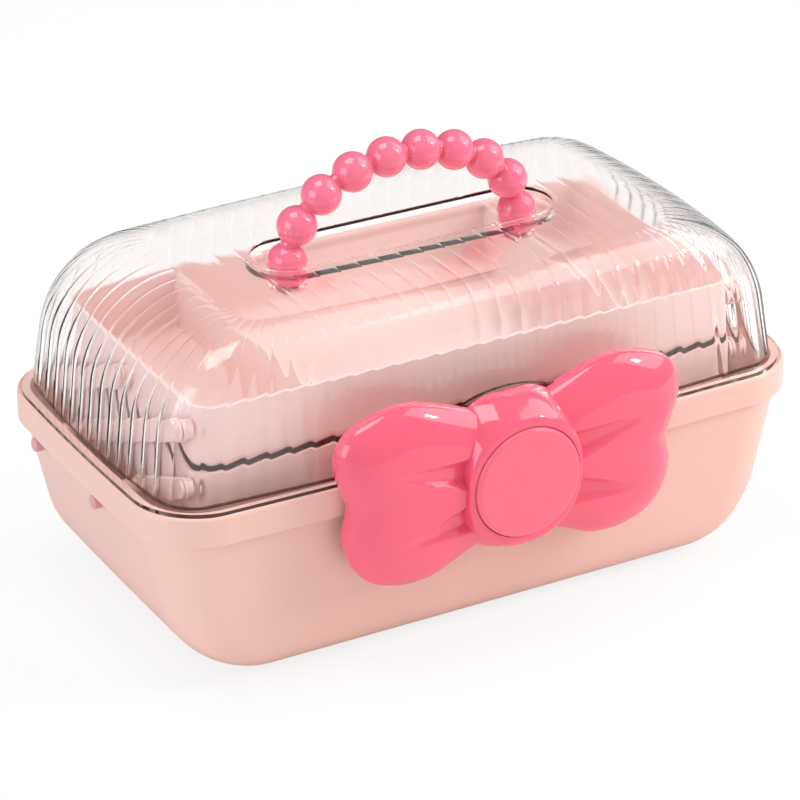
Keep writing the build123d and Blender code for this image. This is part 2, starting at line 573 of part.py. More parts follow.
def make_upper_tray():
    """Upper tray with two moulded cross walls."""
    tray = tray_body(UPPER_TRAY_TOP_Z, UPPER_TRAY_HEIGHT)
    core = tray_form(UPPER_TRAY_TOP_Z, UPPER_TRAY_HEIGHT, TRAY_WALL / 2)
    for x in (-FIXED_WALL_X, FIXED_WALL_X):
        wall = block((x - DIVIDER_THICKNESS / 2, -TRAY_HALF_Y, UPPER_TRAY_LOW_Z),
                     (x + DIVIDER_THICKNESS / 2, TRAY_HALF_Y, UPPER_TRAY_TOP_Z - DIVIDER_LOW))
        tray += wall & core
    return pivot_bosses(tray, (UPPER_FRONT, UPPER_BACK), UPPER_TRAY_TOP_Z)


def make_lower_tray():
    """Lower tray with rails on its long walls that hold the loose dividers."""
    tray = tray_body(LOWER_TRAY_TOP_Z, LOWER_TRAY_HEIGHT)
    core = tray_form(LOWER_TRAY_TOP_Z, LOWER_TRAY_HEIGHT, TRAY_WALL / 2)
    low_z = LOWER_TRAY_TOP_Z - LOWER_TRAY_HEIGHT
    inner = TRAY_HALF_Y - TRAY_WALL - DIVIDER_RAIL_DEPTH
    middle = DIVIDER_THICKNESS / 2 + DIVIDER_GAP + DIVIDER_RAIL / 2
    for x in (-LOWER_DIVIDER_X, LOWER_DIVIDER_X):
        for rail_x in (x - middle, x + middle):
            for y_low, y_high in ((-TRAY_HALF_Y, -inner), (inner, TRAY_HALF_Y)):
                rail = block((rail_x - DIVIDER_RAIL / 2, y_low, low_z),
                             (rail_x + DIVIDER_RAIL / 2, y_high, LOWER_TRAY_TOP_Z - DIVIDER_LOW))
                tray += rail & core
    return pivot_bosses(tray, (LOWER_FRONT, LOWER_MIDDLE, LOWER_BACK), LOWER_TRAY_TOP_Z)


def make_dividers():
    """Two loose cross plates that drop between the lower tray's rails."""
    low_z = LOWER_TRAY_TOP_Z - LOWER_TRAY_HEIGHT + TRAY_WALL
    top_z = LOWER_TRAY_TOP_Z - DIVIDER_LOW
    half = TRAY_HALF_Y - TRAY_WALL - DIVIDER_GAP - TRAY_BOW / 2
    half_top = half - TRAY_DRAFT * DIVIDER_LOW
    half_mid = half - TRAY_DRAFT * (LOWER_TRAY_HEIGHT - TRAY_EDGE_ROUND)
    half_low = half - TRAY_DRAFT * LOWER_TRAY_HEIGHT - TRAY_EDGE_ROUND
    mid_z = low_z + TRAY_EDGE_ROUND
    shape = Polyline((-half_low, low_z), (half_low, low_z), (half_mid, mid_z), (half_top, top_z),
                     (-half_top, top_z), (-half_mid, mid_z), close=True)
    plate = extrude(Plane.YZ * make_face(shape), DIVIDER_THICKNESS / 2, both=True)
    return [Pos(x, 0, 0) * plate for x in (-LOWER_DIVIDER_X, LOWER_DIVIDER_X)]


# ---------------------------------------------------------------- linkage
def link(start, end, pivots):
    """Flat link between two (y, z) points with a hole at each pivot and its gap."""
    length = sqrt((end[0] - start[0]) ** 2 + (end[1] - start[1]) ** 2)
    angle = degrees(atan2(end[1] - start[1], end[0] - start[0]))
    bar = Plane.YZ * (Pos((start[0] + end[0]) / 2, (start[1] + end[1]) / 2) *
                      (Rot(0, 0, angle) * SlotCenterToCenter(length, LINK_WIDTH)))
    solid = Pos(LINK_INNER_X, 0, 0) * extrude(bar, LINK_THICKNESS)
    solid = chamfer(solid.edges().group_by(Axis.X)[-1], LINK_EDGE)
    for (y, z), gap in pivots:
        solid -= rod_x(LINK_PIN_RADIUS + gap, LINK_INNER_X - OVER, LINK_OUTER_X + OVER, y, z)
    return solid


def make_long_link():
    """Long link on the right end: tub, lower tray and upper tray pivots."""
    return link(BASE_BACK, UPPER_FRONT,
                [(BASE_BACK, RUNNING_GAP), (LOWER_MIDDLE, RUNNING_GAP), (UPPER_FRONT, RUNNING_GAP)])


def make_front_link():
    """Short link on the right end from the tub to the front of the lower tray."""
    return link(BASE_FRONT, LOWER_FRONT, [(BASE_FRONT, RUNNING_GAP), (LOWER_FRONT, OPEN_PIVOT_GAP)])


def make_rear_link():
    """Link on the right end from the back of the lower tray to the upper tray."""
    return link(LOWER_BACK, UPPER_BACK, [(LOWER_BACK, RUNNING_GAP), (UPPER_BACK, OPEN_PIVOT_GAP)])


def tray_pin(pivot, top_z):
    """Pin pressed in a tray's boss, with a round head outside the link."""
    y, z = pivot
    wall = TRAY_HALF_X - TRAY_DRAFT * (top_z - z)
    root = rod_x(LINK_PIN_ROOT_RADIUS, wall - TRAY_WALL / 2, LINK_INNER_X - LINK_SIDE_GAP, y, z)
    shank = rod_x(LINK_PIN_RADIUS, LINK_INNER_X - LINK_SIDE_GAP, LINK_OUTER_X + LINK_SIDE_GAP, y, z)
    head_x = LINK_OUTER_X + LINK_SIDE_GAP
    head = rod_x(LINK_PIN_HEAD_RADIUS, head_x, head_x + LINK_PIN_HEAD, y, z)
    head = fillet(head.edges().group_by(Axis.X)[-1], LINK_PIN_HEAD_ROUND)
    return root + shank + head


def base_pin(pivot):
    """Pin through the tub's end wall and boss, with a round head outside the case."""
    y, z = pivot
    wall = tub_wall_x(z + BASE_PIN_HEAD_RADIUS)
    end_x = LINK_INNER_X - LINK_SIDE_GAP
    shank = rod_x(LINK_PIN_RADIUS, end_x, wall + SEAT_GAP + WELD, y, z)
    head = rod_x(BASE_PIN_HEAD_RADIUS, wall + SEAT_GAP, wall + BASE_PIN_HEAD, y, z)
    head = fillet(head.edges().group_by(Axis.X)[-1], BASE_PIN_HEAD_ROUND)
    end = rod_x(BASE_PIN_END_RADIUS, end_x - BASE_PIN_END, end_x, y, z)
    return shank + head + end


def make_pins(pin, *values):
    """The same pins on both ends of the case."""
    return both_ends(pin(*values))


# ---------------------------------------------------------------- bow
def front_plane(y, z=BOW_Z):
    """Upright plane at a depth, seen from the front: x to the right, y upwards."""
    return Plane(origin=(0, y, z), x_dir=(1, 0, 0), z_dir=(0, -1, 0))


def loop_outline(scale):
    """Outline of the bow's right loop: wide rounded end with a waist, narrow at the knot."""
    middle = LOOP_MIDDLE * BOW_HALF_X
    placed = [(middle + (x * BOW_HALF_X - middle) * scale, z * BOW_HALF_Z * scale) for x, z in LOOP_POINTS]
    return make_face([Spline(*placed), Line(placed[-1], placed[0])])


def loop_form(inset):
    """Solid loop that swells from the bow's back, drawn in by inset."""
    drawn = 1 - inset / BOW_HALF_Z
    return loft([front_plane(BOW_BACK_Y - share * (BOW_DEPTH - inset)) * loop_outline(scale * drawn)
                 for share, scale in LOOP_STATIONS])


def crease(top, low, tip_x, tip_z, grown):
    """Wedge of a fold: wide and deep at the knot, out to nothing at its tip; grown by a margin."""
    front = BOW_BACK_Y - BOW_DEPTH
    ends = []
    for x, high, bottom, deep in ((KNOT_HALF_X / 2, top, low, CREASE_DEPTH),
                                  (tip_x + grown, tip_z + CREASE_TIP, tip_z - CREASE_TIP, CREASE_TIP)):
        section = Polyline((front - OVER, bottom - grown), (front + deep + grown, bottom - grown),
                           (front + deep + grown, high + grown), (front - OVER, high + grown), close=True)
        ends.append(Plane(origin=(x, 0, BOW_Z), x_dir=(0, 1, 0), z_dir=(1, 0, 0)) * make_face(section))
    return loft(ends, ruled=True)


def knot_form(inset):
    """Solid knot, drawn in by inset: a barrel, oblong behind and nearly round in front."""
    sections = []
    for i in range(KNOT_STATIONS + 1):
        share = i / KNOT_STATIONS
        half_z = KNOT_HALF_Z + (KNOT_FRONT_HALF_Z - KNOT_HALF_Z) * share
        half_z += 4 * KNOT_BULGE * share * (1 - share)
        corner = KNOT_CORNER + (KNOT_FRONT_CORNER - KNOT_CORNER) * share
        face = RectangleRounded(2 * (KNOT_HALF_X - inset), 2 * (half_z - inset), corner - inset)
        sections.append(front_plane(BOW_BACK_Y - share * (KNOT_DEPTH - inset)) * face)
    knot = loft(sections)
    return fillet(knot.edges().group_by(Axis.Y)[0], KNOT_EDGE_ROUND)


def make_bow():
    """Hollow bow shell: two puffed loops with fold creases and a knot bored for the button."""
    loop, room = loop_form(0), loop_form(BOW_WALL)
    for fold in CREASES:
        loop -= crease(*fold, 0.0)
        room -= crease(*fold, BOW_WALL)
    loops = [loop, mirror(loop, about=Plane.YZ)]
    knot = knot_form(0)
    bow = loops[0] + loops[1] + knot - room - mirror(room, about=Plane.YZ) - knot_form(BOW_WALL)
    bore = BUTTON_RADIUS + BUTTON_GAP
    bow += knot & rod_y(bore + SLEEVE_WALL, FRONT_Y, BOW_BACK_Y - SLEEVE_DEPTH, 0, BOW_Z)
    bow -= rod_y(bore, FRONT_Y - OVER, BOW_BACK_Y, 0, BOW_Z)
    for x, outer in ((BOW_SCREW_X, loops[0]), (-BOW_SCREW_X, loops[1])):
        for z in (BOW_SCREW_Z, BOW_SCREW_LOW_Z):
            boss = rod_y(BOW_BOSS_RADIUS, BOW_BACK_Y - PLATE_THICKNESS - PLATE_GAP, FRONT_Y, x, z)
            bow += boss & outer
            bow -= rod_y(BOW_SCREW_RADIUS, BOW_BACK_Y, BOW_BACK_Y - BOW_SCREW_BITE, x, z)
    slot = HASP_HALF_X + HASP_SLOT_GAP
    slot_front = HASP_BACK_Y - HASP_THICKNESS - HASP_SLOT_GAP
    bow -= block((-slot, slot_front, BOW_Z), (slot, BOW_BACK_Y + OVER, BOW_Z + KNOT_HALF_Z + OVER))
    return bow


def make_bow_plate():
    """Flat back of the bow, open behind the knot for the hasp and the plunger."""
    inset = BOW_WALL + PLATE_GAP
    loop = front_plane(BOW_BACK_Y) * loop_outline(LOOP_STATIONS[0][1] * (1 - inset / BOW_HALF_Z))
    knot = RectangleRounded(2 * (KNOT_HALF_X - inset), 2 * (KNOT_HALF_Z - inset), KNOT_CORNER - inset)
    right = extrude(loop, PLATE_THICKNESS)
    plate = right + mirror(right, about=Plane.YZ) + extrude(front_plane(BOW_BACK_Y) * knot, PLATE_THICKNESS)
    near, far = BOW_BACK_Y - PLATE_THICKNESS - OVER, BOW_BACK_Y + OVER
    for half, low_z in ((HASP_HALF_X + HASP_SLOT_GAP, LID_FOOT_Z - HASP_SLOT_GAP),
                        (HASP_TAIL_HALF_X + LATCH_POCKET_GAP, PLUNGER_Z - PLUNGER_RADIUS - LATCH_POCKET_GAP)):
        plate -= block((-half, near, low_z), (half, far, BOW_Z + KNOT_HALF_Z))
    for x in (-BOW_SCREW_X, BOW_SCREW_X):
        for z in (BOW_SCREW_Z, BOW_SCREW_LOW_Z):
            plate -= rod_y(BOW_SCREW_RADIUS + SCREW_HOLE_GAP, near, far, x, z)
    return plate


def make_bow_screws():
    """Four screws from inside the tub, through its front and the plate into the bow."""
    screws = []
    for x in (-BOW_SCREW_X, BOW_SCREW_X):
        for z in (BOW_SCREW_Z, BOW_SCREW_LOW_Z):
            edge = abs(x) + BOW_SCREW_HEAD_RADIUS
            bowed = SIDE_BOW * (edge / TUB_HALF_X) ** 2
            inside = tub_wall_y(z - BOW_SCREW_HEAD_RADIUS) + TUB_WALL + bowed + SEAT_GAP
            shank = rod_y(BOW_SCREW_RADIUS, BOW_BACK_Y - BOW_SCREW_BITE, inside + WELD, x, z)
            head = rod_y(BOW_SCREW_HEAD_RADIUS, inside, inside + BOW_SCREW_HEAD, x, z)
            head = fillet(head.edges().group_by(Axis.Y)[-1], SCREW_HEAD_ROUND)
            screws.append(shank + head)
    return screws


# ---------------------------------------------------------------- latch
def make_button():
    """Round push button: flat cap, skirt with a stop lip, one plunger low in the middle."""
    cap_back = FRONT_Y + BUTTON_WALL
    inner = BUTTON_RADIUS - BUTTON_WALL
    lip_front = BOW_BACK_Y - SLEEVE_DEPTH + BUTTON_GAP
    skirt_back = lip_front + BUTTON_LIP_THICKNESS
    button = rod_y(BUTTON_RADIUS, FRONT_Y, skirt_back, 0, BOW_Z)
    button = fillet(button.edges().group_by(Axis.Y)[0], BUTTON_EDGE_ROUND)
    button += rod_y(BUTTON_RADIUS + BUTTON_LIP, lip_front, skirt_back, 0, BOW_Z)
    button -= rod_y(inner, cap_back, skirt_back + OVER, 0, BOW_Z)
    plunger_tip = TONGUE_FRONT_Y - (BUTTON_TRAVEL - TONGUE_PUSH)
    return button + rod_y(PLUNGER_RADIUS, cap_back - WELD, plunger_tip, 0, PLUNGER_Z)


def make_button_springs():
    """Two small coil springs between the bow's plate and the button's cap."""
    front = FRONT_Y + BUTTON_WALL + SPRING_WIRE + SPRING_GAP
    back = BOW_BACK_Y - PLATE_THICKNESS - SPRING_WIRE - SPRING_GAP
    length = back - front
    coils = []
    for x in (-SPRING_X, SPRING_X):
        path = Helix(pitch=length / SPRING_TURNS, height=length, radius=SPRING_RADIUS)
        wire = sweep(Plane(origin=path @ 0, z_dir=path % 0) * Circle(SPRING_WIRE), path=path)
        coils.append(Pos(x, back, SPRING_Z) * Rot(90, 0, 0) * wire)
    return coils


def make_tongue():
    """Springy catch: a wide foot screwed to the tub, and a strip with a nose over the hasp's lip."""
    foot = block((-TONGUE_FOOT_HALF_X, TONGUE_FRONT_Y, TONGUE_LOW_Z),
                 (TONGUE_FOOT_HALF_X, TONGUE_BACK_Y, TONGUE_SEAT_Z))
    strip = block((-TONGUE_HALF_X, TONGUE_FRONT_Y, TONGUE_LOW_Z),
                  (TONGUE_HALF_X, TONGUE_BACK_Y, TONGUE_TOP_Z))
    tongue = fillet(foot.edges().filter_by(Axis.Y), TONGUE_CORNER) + strip
    nose_low = HASP_TAIL_LOW_Z + HASP_LIP_HEIGHT + TONGUE_NOSE_GAP
    tip = HASP_BACK_Y + HASP_LIP - TONGUE_BITE
    root = TONGUE_FRONT_Y + WELD
    profile = Polyline((root, nose_low), (tip, nose_low), (tip, nose_low + TONGUE_NOSE_EDGE),
                       (root, nose_low + TONGUE_NOSE_HEIGHT), close=True)
    tongue += extrude(Plane.YZ * make_face(profile), TONGUE_NOSE_HALF_X, both=True)
    for x in (-TONGUE_SCREW_X, TONGUE_SCREW_X):
        tongue -= rod_y(TONGUE_SCREW_RADIUS + SCREW_HOLE_GAP, TONGUE_FRONT_Y - OVER, TONGUE_BACK_Y + OVER,
                        x, TONGUE_SCREW_Z)
    return tongue


def make_tongue_screws():
    """Two small screws that hold the foot of the catch."""
    screws = []
    for x in (-TONGUE_SCREW_X, TONGUE_SCREW_X):
        shank = rod_y(TONGUE_SCREW_RADIUS, TONGUE_FRONT_Y - WELD, TONGUE_BACK_Y + TONGUE_SCREW_BITE,
                      x, TONGUE_SCREW_Z)
        head = rod_y(TONGUE_SCREW_HEAD_RADIUS, TONGUE_FRONT_Y - TONGUE_SCREW_HEAD, TONGUE_FRONT_Y,
                     x, TONGUE_SCREW_Z)
        head = fillet(head.edges().group_by(Axis.Y)[0], TONGUE_SCREW_HEAD_ROUND)
        screws.append(shank + head)
    return screws


# ---------------------------------------------------------------- assembly
def make_parts():
    """Every piece of the case under its name."""
    links = {"long_link": make_long_link(), "front_link": make_front_link(), "rear_link": make_rear_link()}
    parts = {
        "tub": make_tub(),
        "feet": make_feet(),
        "lid": make_lid(),
        "hinge_pins": make_hinge_pins(),
        "bead_handle": make_handle(),
        "handle_screws": make_handle_screws(),
        "upper_tray": make_upper_tray(),
        "lower_tray": make_lower_tray(),
        "tray_dividers": make_dividers(),
        "bow_shell": make_bow(),
        "bow_plate": make_bow_plate(),
        "bow_screws": make_bow_screws(),
        "push_button": make_button(),
        "button_springs": make_button_springs(),
        "catch_tongue": make_tongue(),
        "catch_screws": make_tongue_screws(),
    }
    for name, shape in links.items():
        right, left = both_ends(shape)
        parts[name + "_right"] = right
        parts[name + "_left"] = left
    parts["base_pins"] = [pin for pivot in (BASE_BACK, BASE_FRONT) for pin in make_pins(base_pin, pivot)]
    parts["lower_tray_pins"] = [pin for pivot in (LOWER_FRONT, LOWER_MIDDLE, LOWER_BACK)
                                for pin in make_pins(tray_pin, pivot, LOWER_TRAY_TOP_Z)]
    parts["upper_tray_pins"] = [pin for pivot in (UPPER_FRONT, UPPER_BACK)
                                for pin in make_pins(tray_pin, pivot, UPPER_TRAY_TOP_Z)]
    return parts


def solids_of(shape):
    """The solids of one piece, or of a group of like pieces."""
    if isinstance(shape, list):
        return [solid for piece in shape for solid in piece.solids()]
    return list(shape.solids())


os.makedirs("parts", exist_ok=True)
for name, shape in make_parts().items():
    placed = [Pos(0, SHIFT_Y, 0) * solid for solid in solids_of(shape)]
    whole = placed[0] if len(placed) == 1 else Compound(children=placed)
    export_step(whole, f"parts/{name}.step")
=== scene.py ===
import math
import bmesh
import bpy
import numpy as np
from mathutils import Matrix, Vector


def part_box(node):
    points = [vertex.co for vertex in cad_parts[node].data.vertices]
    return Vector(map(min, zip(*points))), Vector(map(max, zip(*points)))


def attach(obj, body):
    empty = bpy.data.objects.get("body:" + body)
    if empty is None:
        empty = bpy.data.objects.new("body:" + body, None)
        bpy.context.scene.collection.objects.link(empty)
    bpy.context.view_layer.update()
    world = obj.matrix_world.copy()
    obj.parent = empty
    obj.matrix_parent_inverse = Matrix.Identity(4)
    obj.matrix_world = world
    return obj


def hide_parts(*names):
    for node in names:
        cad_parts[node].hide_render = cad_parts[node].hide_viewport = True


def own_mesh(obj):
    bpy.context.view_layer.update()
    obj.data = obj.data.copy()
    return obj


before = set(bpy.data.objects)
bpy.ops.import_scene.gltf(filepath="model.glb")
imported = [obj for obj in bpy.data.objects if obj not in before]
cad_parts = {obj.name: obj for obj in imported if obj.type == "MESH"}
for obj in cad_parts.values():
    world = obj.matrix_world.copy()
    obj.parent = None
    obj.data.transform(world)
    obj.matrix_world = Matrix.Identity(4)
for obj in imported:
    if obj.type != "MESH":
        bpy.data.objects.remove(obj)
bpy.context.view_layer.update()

# ---------------------------------------------------------------- tub
# Deep tapered tub of pale pink plastic with a hollow band round its rim.
# Injection moulded in one piece, satin outside.
MIDDLE_Y = 0.00705           # middle of the tub in the shared frame, metres
RIM_Z = 0.090
TONE_NOISE, GLOSS_NOISE, PEEL_NOISE = (14.0, 2.0), (70.0, 3.0), (2600.0, 1.0)     # scale, detail
GLOSS_SPREAD = 0.03
PEEL_DEPTH = 0.0002
MIX_A, MIX_B, MIX_RESULT = 6, 7, 2     # colour sockets of a Mix node


def moulded_group():
    """Uneven tone, uneven gloss and a fine orange peel, as every moulded piece has."""
    group = bpy.data.node_groups.new("moulded", "ShaderNodeTree")
    face = group.interface
    for name, kind in (("Colour", "Color"), ("Shade", "Color"), ("Gloss", "Float")):
        face.new_socket(name, in_out="INPUT", socket_type="NodeSocket" + kind)
    for name, kind in (("Base", "Color"), ("Rough", "Float"), ("Height", "Float")):
        face.new_socket(name, in_out="OUTPUT", socket_type="NodeSocket" + kind)
    nodes, links = group.nodes, group.links
    start, end = nodes.new("NodeGroupInput"), nodes.new("NodeGroupOutput")
    place = nodes.new("ShaderNodeTexCoord")
    noises = []
    for scale, detail in (TONE_NOISE, GLOSS_NOISE, PEEL_NOISE):
        noise = nodes.new("ShaderNodeTexNoise")
        noise.inputs["Scale"].default_value = scale
        noise.inputs["Detail"].default_value = detail
        links.new(place.outputs["Object"], noise.inputs["Vector"])
        noises.append(noise)
    tone = nodes.new("ShaderNodeMix")
    tone.data_type = "RGBA"
    links.new(noises[0].outputs["Fac"], tone.inputs[0])
    links.new(start.outputs["Colour"], tone.inputs[MIX_A])
    links.new(start.outputs["Shade"], tone.inputs[MIX_B])
    spread = nodes.new("ShaderNodeMapRange")
    spread.inputs["To Min"].default_value = -GLOSS_SPREAD
    spread.inputs["To Max"].default_value = GLOSS_SPREAD
    links.new(noises[1].outputs["Fac"], spread.inputs["Value"])
    gloss = nodes.new("ShaderNodeMath")
    links.new(start.outputs["Gloss"], gloss.inputs[0])
    links.new(spread.outputs["Result"], gloss.inputs[1])
    links.new(tone.outputs[MIX_RESULT], end.inputs["Base"])
    links.new(gloss.outputs[0], end.inputs["Rough"])
    links.new(noises[2].outputs["Fac"], end.inputs["Height"])
    return group


MOULDED = moulded_group()


def moulded_plastic(name, colour, shade, gloss, peel=0.05, **extra):
    """Opaque moulded plastic: the two tones, the mean roughness and plain Principled values."""
    material = bpy.data.materials.new(name)
    material.use_nodes = True
    nodes, links = material.node_tree.nodes, material.node_tree.links
    surface = nodes["Principled BSDF"]
    group = nodes.new("ShaderNodeGroup")
    group.node_tree = MOULDED
    group.inputs["Colour"].default_value = (*colour, 1.0)
    group.inputs["Shade"].default_value = (*shade, 1.0)
    group.inputs["Gloss"].default_value = gloss
    bump = nodes.new("ShaderNodeBump")
    bump.inputs["Strength"].default_value = peel
    bump.inputs["Distance"].default_value = PEEL_DEPTH
    links.new(group.outputs["Base"], surface.inputs["Base Color"])
    links.new(group.outputs["Rough"], surface.inputs["Roughness"])
    links.new(group.outputs["Height"], bump.inputs["Height"])
    links.new(bump.outputs["Normal"], surface.inputs["Normal"])
    for socket, value in extra.items():
        surface.inputs[socket.replace("_", " ")].default_value = value
    return material


def finish_node(node, material):
    """Gives a frame node the material in every slot."""
    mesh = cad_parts[node].data
    mesh.materials.clear()
    mesh.materials.append(material)


tub_plastic = moulded_plastic("tub_plastic", (0.86, 0.53, 0.455), (0.84, 0.51, 0.435), 0.34)
finish_node("tub", tub_plastic)

# ---------------------------------------------------------------- feet
# Four small round pads of soft pink rubber that the case stands on. Each is pressed into
# a seat moulded under a corner of the tub.
foot_rubber = moulded_plastic("foot_rubber", (0.80, 0.45, 0.42), (0.74, 0.40, 0.38), 0.6)
finish_node("feet", foot_rubber)

# ---------------------------------------------------------------- lid
# Clear domed lid of polystyrene with its flange, moulded in one piece with the sunk seat of
# the handle, the hasp and the hinge knuckles. Flutes run up the walls and over the rounded
# edges to the top, and the inside is smooth.
LID_HALF = (0.1555, 0.0825)            # half the length and half the width at the rim
LID_CORNER = 0.0152
LID_CORNER_LOSS = 0.11                 # corner radius lost per metre that the walls are drawn in
LID_BOW = 0.0054                       # how far each wall bulges between its corners
LID_WALL = 0.0020
LID_HEIGHT = 0.0688
LID_DRAFT = (0.11, 0.13)               # slope of the ends and of the sides
LID_ROUND = (0.0402, 0.0161)           # rounding of the top's edge on the ends and on the sides
FLANGE_HALF = (0.1603, 0.0851)
FLANGE_CORNER = 0.0289
FLANGE_BOW = 0.0023
FLANGE_LOW, FLANGE_TOP = 0.0893, 0.0912
FLUTE_COUNTS = {"side": 17, "corner": 9, "end": 8}
FLUTE_PHASES = (0.0, 0.035, 0.08, 0.18, 0.30, 0.5, 0.70, 0.82, 0.92, 0.965)     # points of one flute
FLUTE_RIB = (1.0, 0.6, 0.0, 0.0, 0.0, 0.0, 0.0, 0.0, 0.0, 0.6)                  # share of the rib there
FLUTE_HOLLOW = (0.0, 0.0, 0.0, 0.42, 0.77, 1.0, 0.77, 0.42, 0.0, 0.0)           # share of the hollow
FLUTE_STEPS = len(FLUTE_PHASES)
FLUTES_HALF = (0.0865, 0.0375)         # the straight flutes of a side and of an end lie within these
RIB_HEIGHT = 0.00042
RIB_ON_SIDES, RIB_ON_TOP = 0.3, 0.4    # share of the rib's height left there
HOLLOW_DEPTH = 0.0009
HOLLOW_ON_ENDS, HOLLOW_ON_TOP = 0.4, 0.03
HOLLOW_FADE = 6                        # how fast the hollows fade as the wall rounds over
WALL_STEPS, ROUND_STEPS = 4, 16        # rings up a wall and over the rounded edge


def drawn_in(depth, radius):
    """How far a rounded edge has drawn in at a depth under its flat top."""
    if depth >= radius:
        return 0.0
    return radius - math.sqrt(radius ** 2 - (radius - depth) ** 2)


def flute_share(i, count):
    """Where point i lies on a stretch of count points, as a share of the stretch."""
    return (i // FLUTE_STEPS + FLUTE_PHASES[i % FLUTE_STEPS]) * FLUTE_STEPS / count


def lid_ring(half_x, half_y, corner, bow):
    """One closed ring: flutes keep their x on the sides and their y on the ends."""
    held_x, held_y = FLUTES_HALF
    a, b = half_x - bow, half_y - bow
    side = FLUTE_COUNTS["side"] * FLUTE_STEPS
    end = FLUTE_COUNTS["end"] * FLUTE_STEPS
    turn = FLUTE_COUNTS["corner"] * FLUTE_STEPS
    lead_x, lead_y, arc = a - corner - held_x, b - corner - held_y, corner * math.pi / 2
    total = lead_x + arc + lead_y
    quarter = []                                 # from the front straight to the right end
    for i in range(turn):
        s = total * flute_share(i, turn)
        if s < lead_x:
            quarter.append((held_x + s, -b))
        elif s < lead_x + arc:
            t = (s - lead_x) / corner
            quarter.append((a - corner + corner * math.sin(t), -b + corner - corner * math.cos(t)))
        else:
            quarter.append((a, -b + corner + s - lead_x - arc))
    front = [(-held_x + 2 * held_x * flute_share(i, side), -b) for i in range(side)]
    right = [(a, -held_y + 2 * held_y * flute_share(i, end)) for i in range(end)]
    half = front + quarter + right
    mirrored = [(x, -y) for x, y in [(held_x, -b)] + quarter[1:] + [(a, -held_y)]]
    half += mirrored[::-1][:-1]
    points = np.array(half + [(-x, -y) for x, y in half])
    x, y = points[:, 0].copy(), points[:, 1].copy()
    points[:, 0] = x * (1 + bow / a * (1 - (y / b) ** 2))
    points[:, 1] = y * (1 + bow / b * (1 - (x / a) ** 2))
    return points


def lid_grid(inset):
    """Rings of the dome from its foot to the edge of the flat top, as (height, points)."""
    top = LID_HEIGHT - inset
    depth = LID_ROUND[0] - inset
    heights = [FLANGE_TOP - RIM_Z if inset == 0 else FLANGE_LOW - RIM_Z]
    heights += [heights[0] + (top - depth - heights[0]) * k / WALL_STEPS for k in range(1, WALL_STEPS)]
    heights += [top - depth * (1 - math.sin(math.pi / 2 * k / ROUND_STEPS)) for k in range(ROUND_STEPS + 1)]
    rings = []
    for h in heights:
        end_in = LID_DRAFT[0] * h + drawn_in(top - h, LID_ROUND[0] - inset)
        side_in = LID_DRAFT[1] * h + drawn_in(top - h, LID_ROUND[1] - inset)
        corner = LID_CORNER - LID_CORNER_LOSS * (end_in + side_in) - inset
        points = lid_ring(LID_HALF[0] - end_in - inset, LID_HALF[1] - side_in - inset, corner, LID_BOW)
        rings.append((RIM_Z + h, points))
    return rings


def fluted(normals):
    """How far each point of a ring stands out or in for the flutes, by the ring's normals."""
    count = len(normals) // FLUTE_STEPS
    ends, walls = normals[:, 0] ** 2, 1 - normals[:, 2] ** 2     # 1 on an end, 1 on an upright wall
    rib = RIB_HEIGHT * (RIB_ON_SIDES + (1 - RIB_ON_SIDES) * ends) * (RIB_ON_TOP + (1 - RIB_ON_TOP) * walls)
    hollow = HOLLOW_DEPTH * (HOLLOW_ON_TOP + (1 - HOLLOW_ON_TOP) * walls ** HOLLOW_FADE)
    hollow *= 1 - (1 - HOLLOW_ON_ENDS) * ends
    return rib * np.tile(FLUTE_RIB, count) - hollow * np.tile(FLUTE_HOLLOW, count)


def mesh_object(name, vertices, faces, material):
    """A new mesh object at the origin with smooth faces."""
    mesh = bpy.data.meshes.new(name)
    mesh.from_pydata([tuple(v) for v in vertices], [], faces)
    mesh.validate()
    work = bmesh.new()
    work.from_mesh(mesh)
    bmesh.ops.recalc_face_normals(work, faces=work.faces)
    work.to_mesh(mesh)
    work.free()
    mesh.shade_smooth()
    mesh.materials.append(material)
    item = bpy.data.objects.new(name, mesh)
    bpy.context.scene.collection.objects.link(item)
    return item


def lid_skin(inset, flutes):
    """Vertices and faces of one skin of the dome with its flat top, and the points in one ring."""
    rings = lid_grid(inset)
    count = len(rings[0][1])
    centres = np.array([[*p, z] for z, ring in rings for p in ring]).reshape(len(rings), count, 3)
    along = np.roll(centres, -1, axis=1) - np.roll(centres, 1, axis=1)
    rise = np.gradient(centres, axis=0)
    normal = np.cross(along, rise)
    normal /= np.linalg.norm(normal, axis=2, keepdims=True)
    normal[-1] = (0, 0, 1)
    side = FLUTE_COUNTS["side"] * FLUTE_STEPS
    ends = (2 * FLUTE_COUNTS["corner"] + FLUTE_COUNTS["end"]) * FLUTE_STEPS
    if flutes:
        for k in range(1, len(rings)):
            centres[k] += normal[k] * fluted(normal[k])[:, None]
        for first in (side, 2 * side + ends):
            centres[-1, first:first + ends + 1, 2] = rings[-1][0]
    vertices = centres.reshape(-1, 3).tolist()
    faces = []
    for k in range(len(rings) - 1):
        for i in range(count):
            j = (i + 1) % count
            faces.append((k * count + i, k * count + j, (k + 1) * count + j, (k + 1) * count + i))
    # Flat top: one strip from front to back for each column, and one face at each end.
    base = (len(rings) - 1) * count
    for i in range(side):
        far = side + ends + side - i
        faces.append((base + i, base + i + 1, base + far - 1, base + far))
    faces.append(tuple(base + side + i for i in range(ends + 1)))
    faces.append(tuple(base + (2 * side + ends + i) % count for i in range(ends + 1)))
    return vertices, faces, count


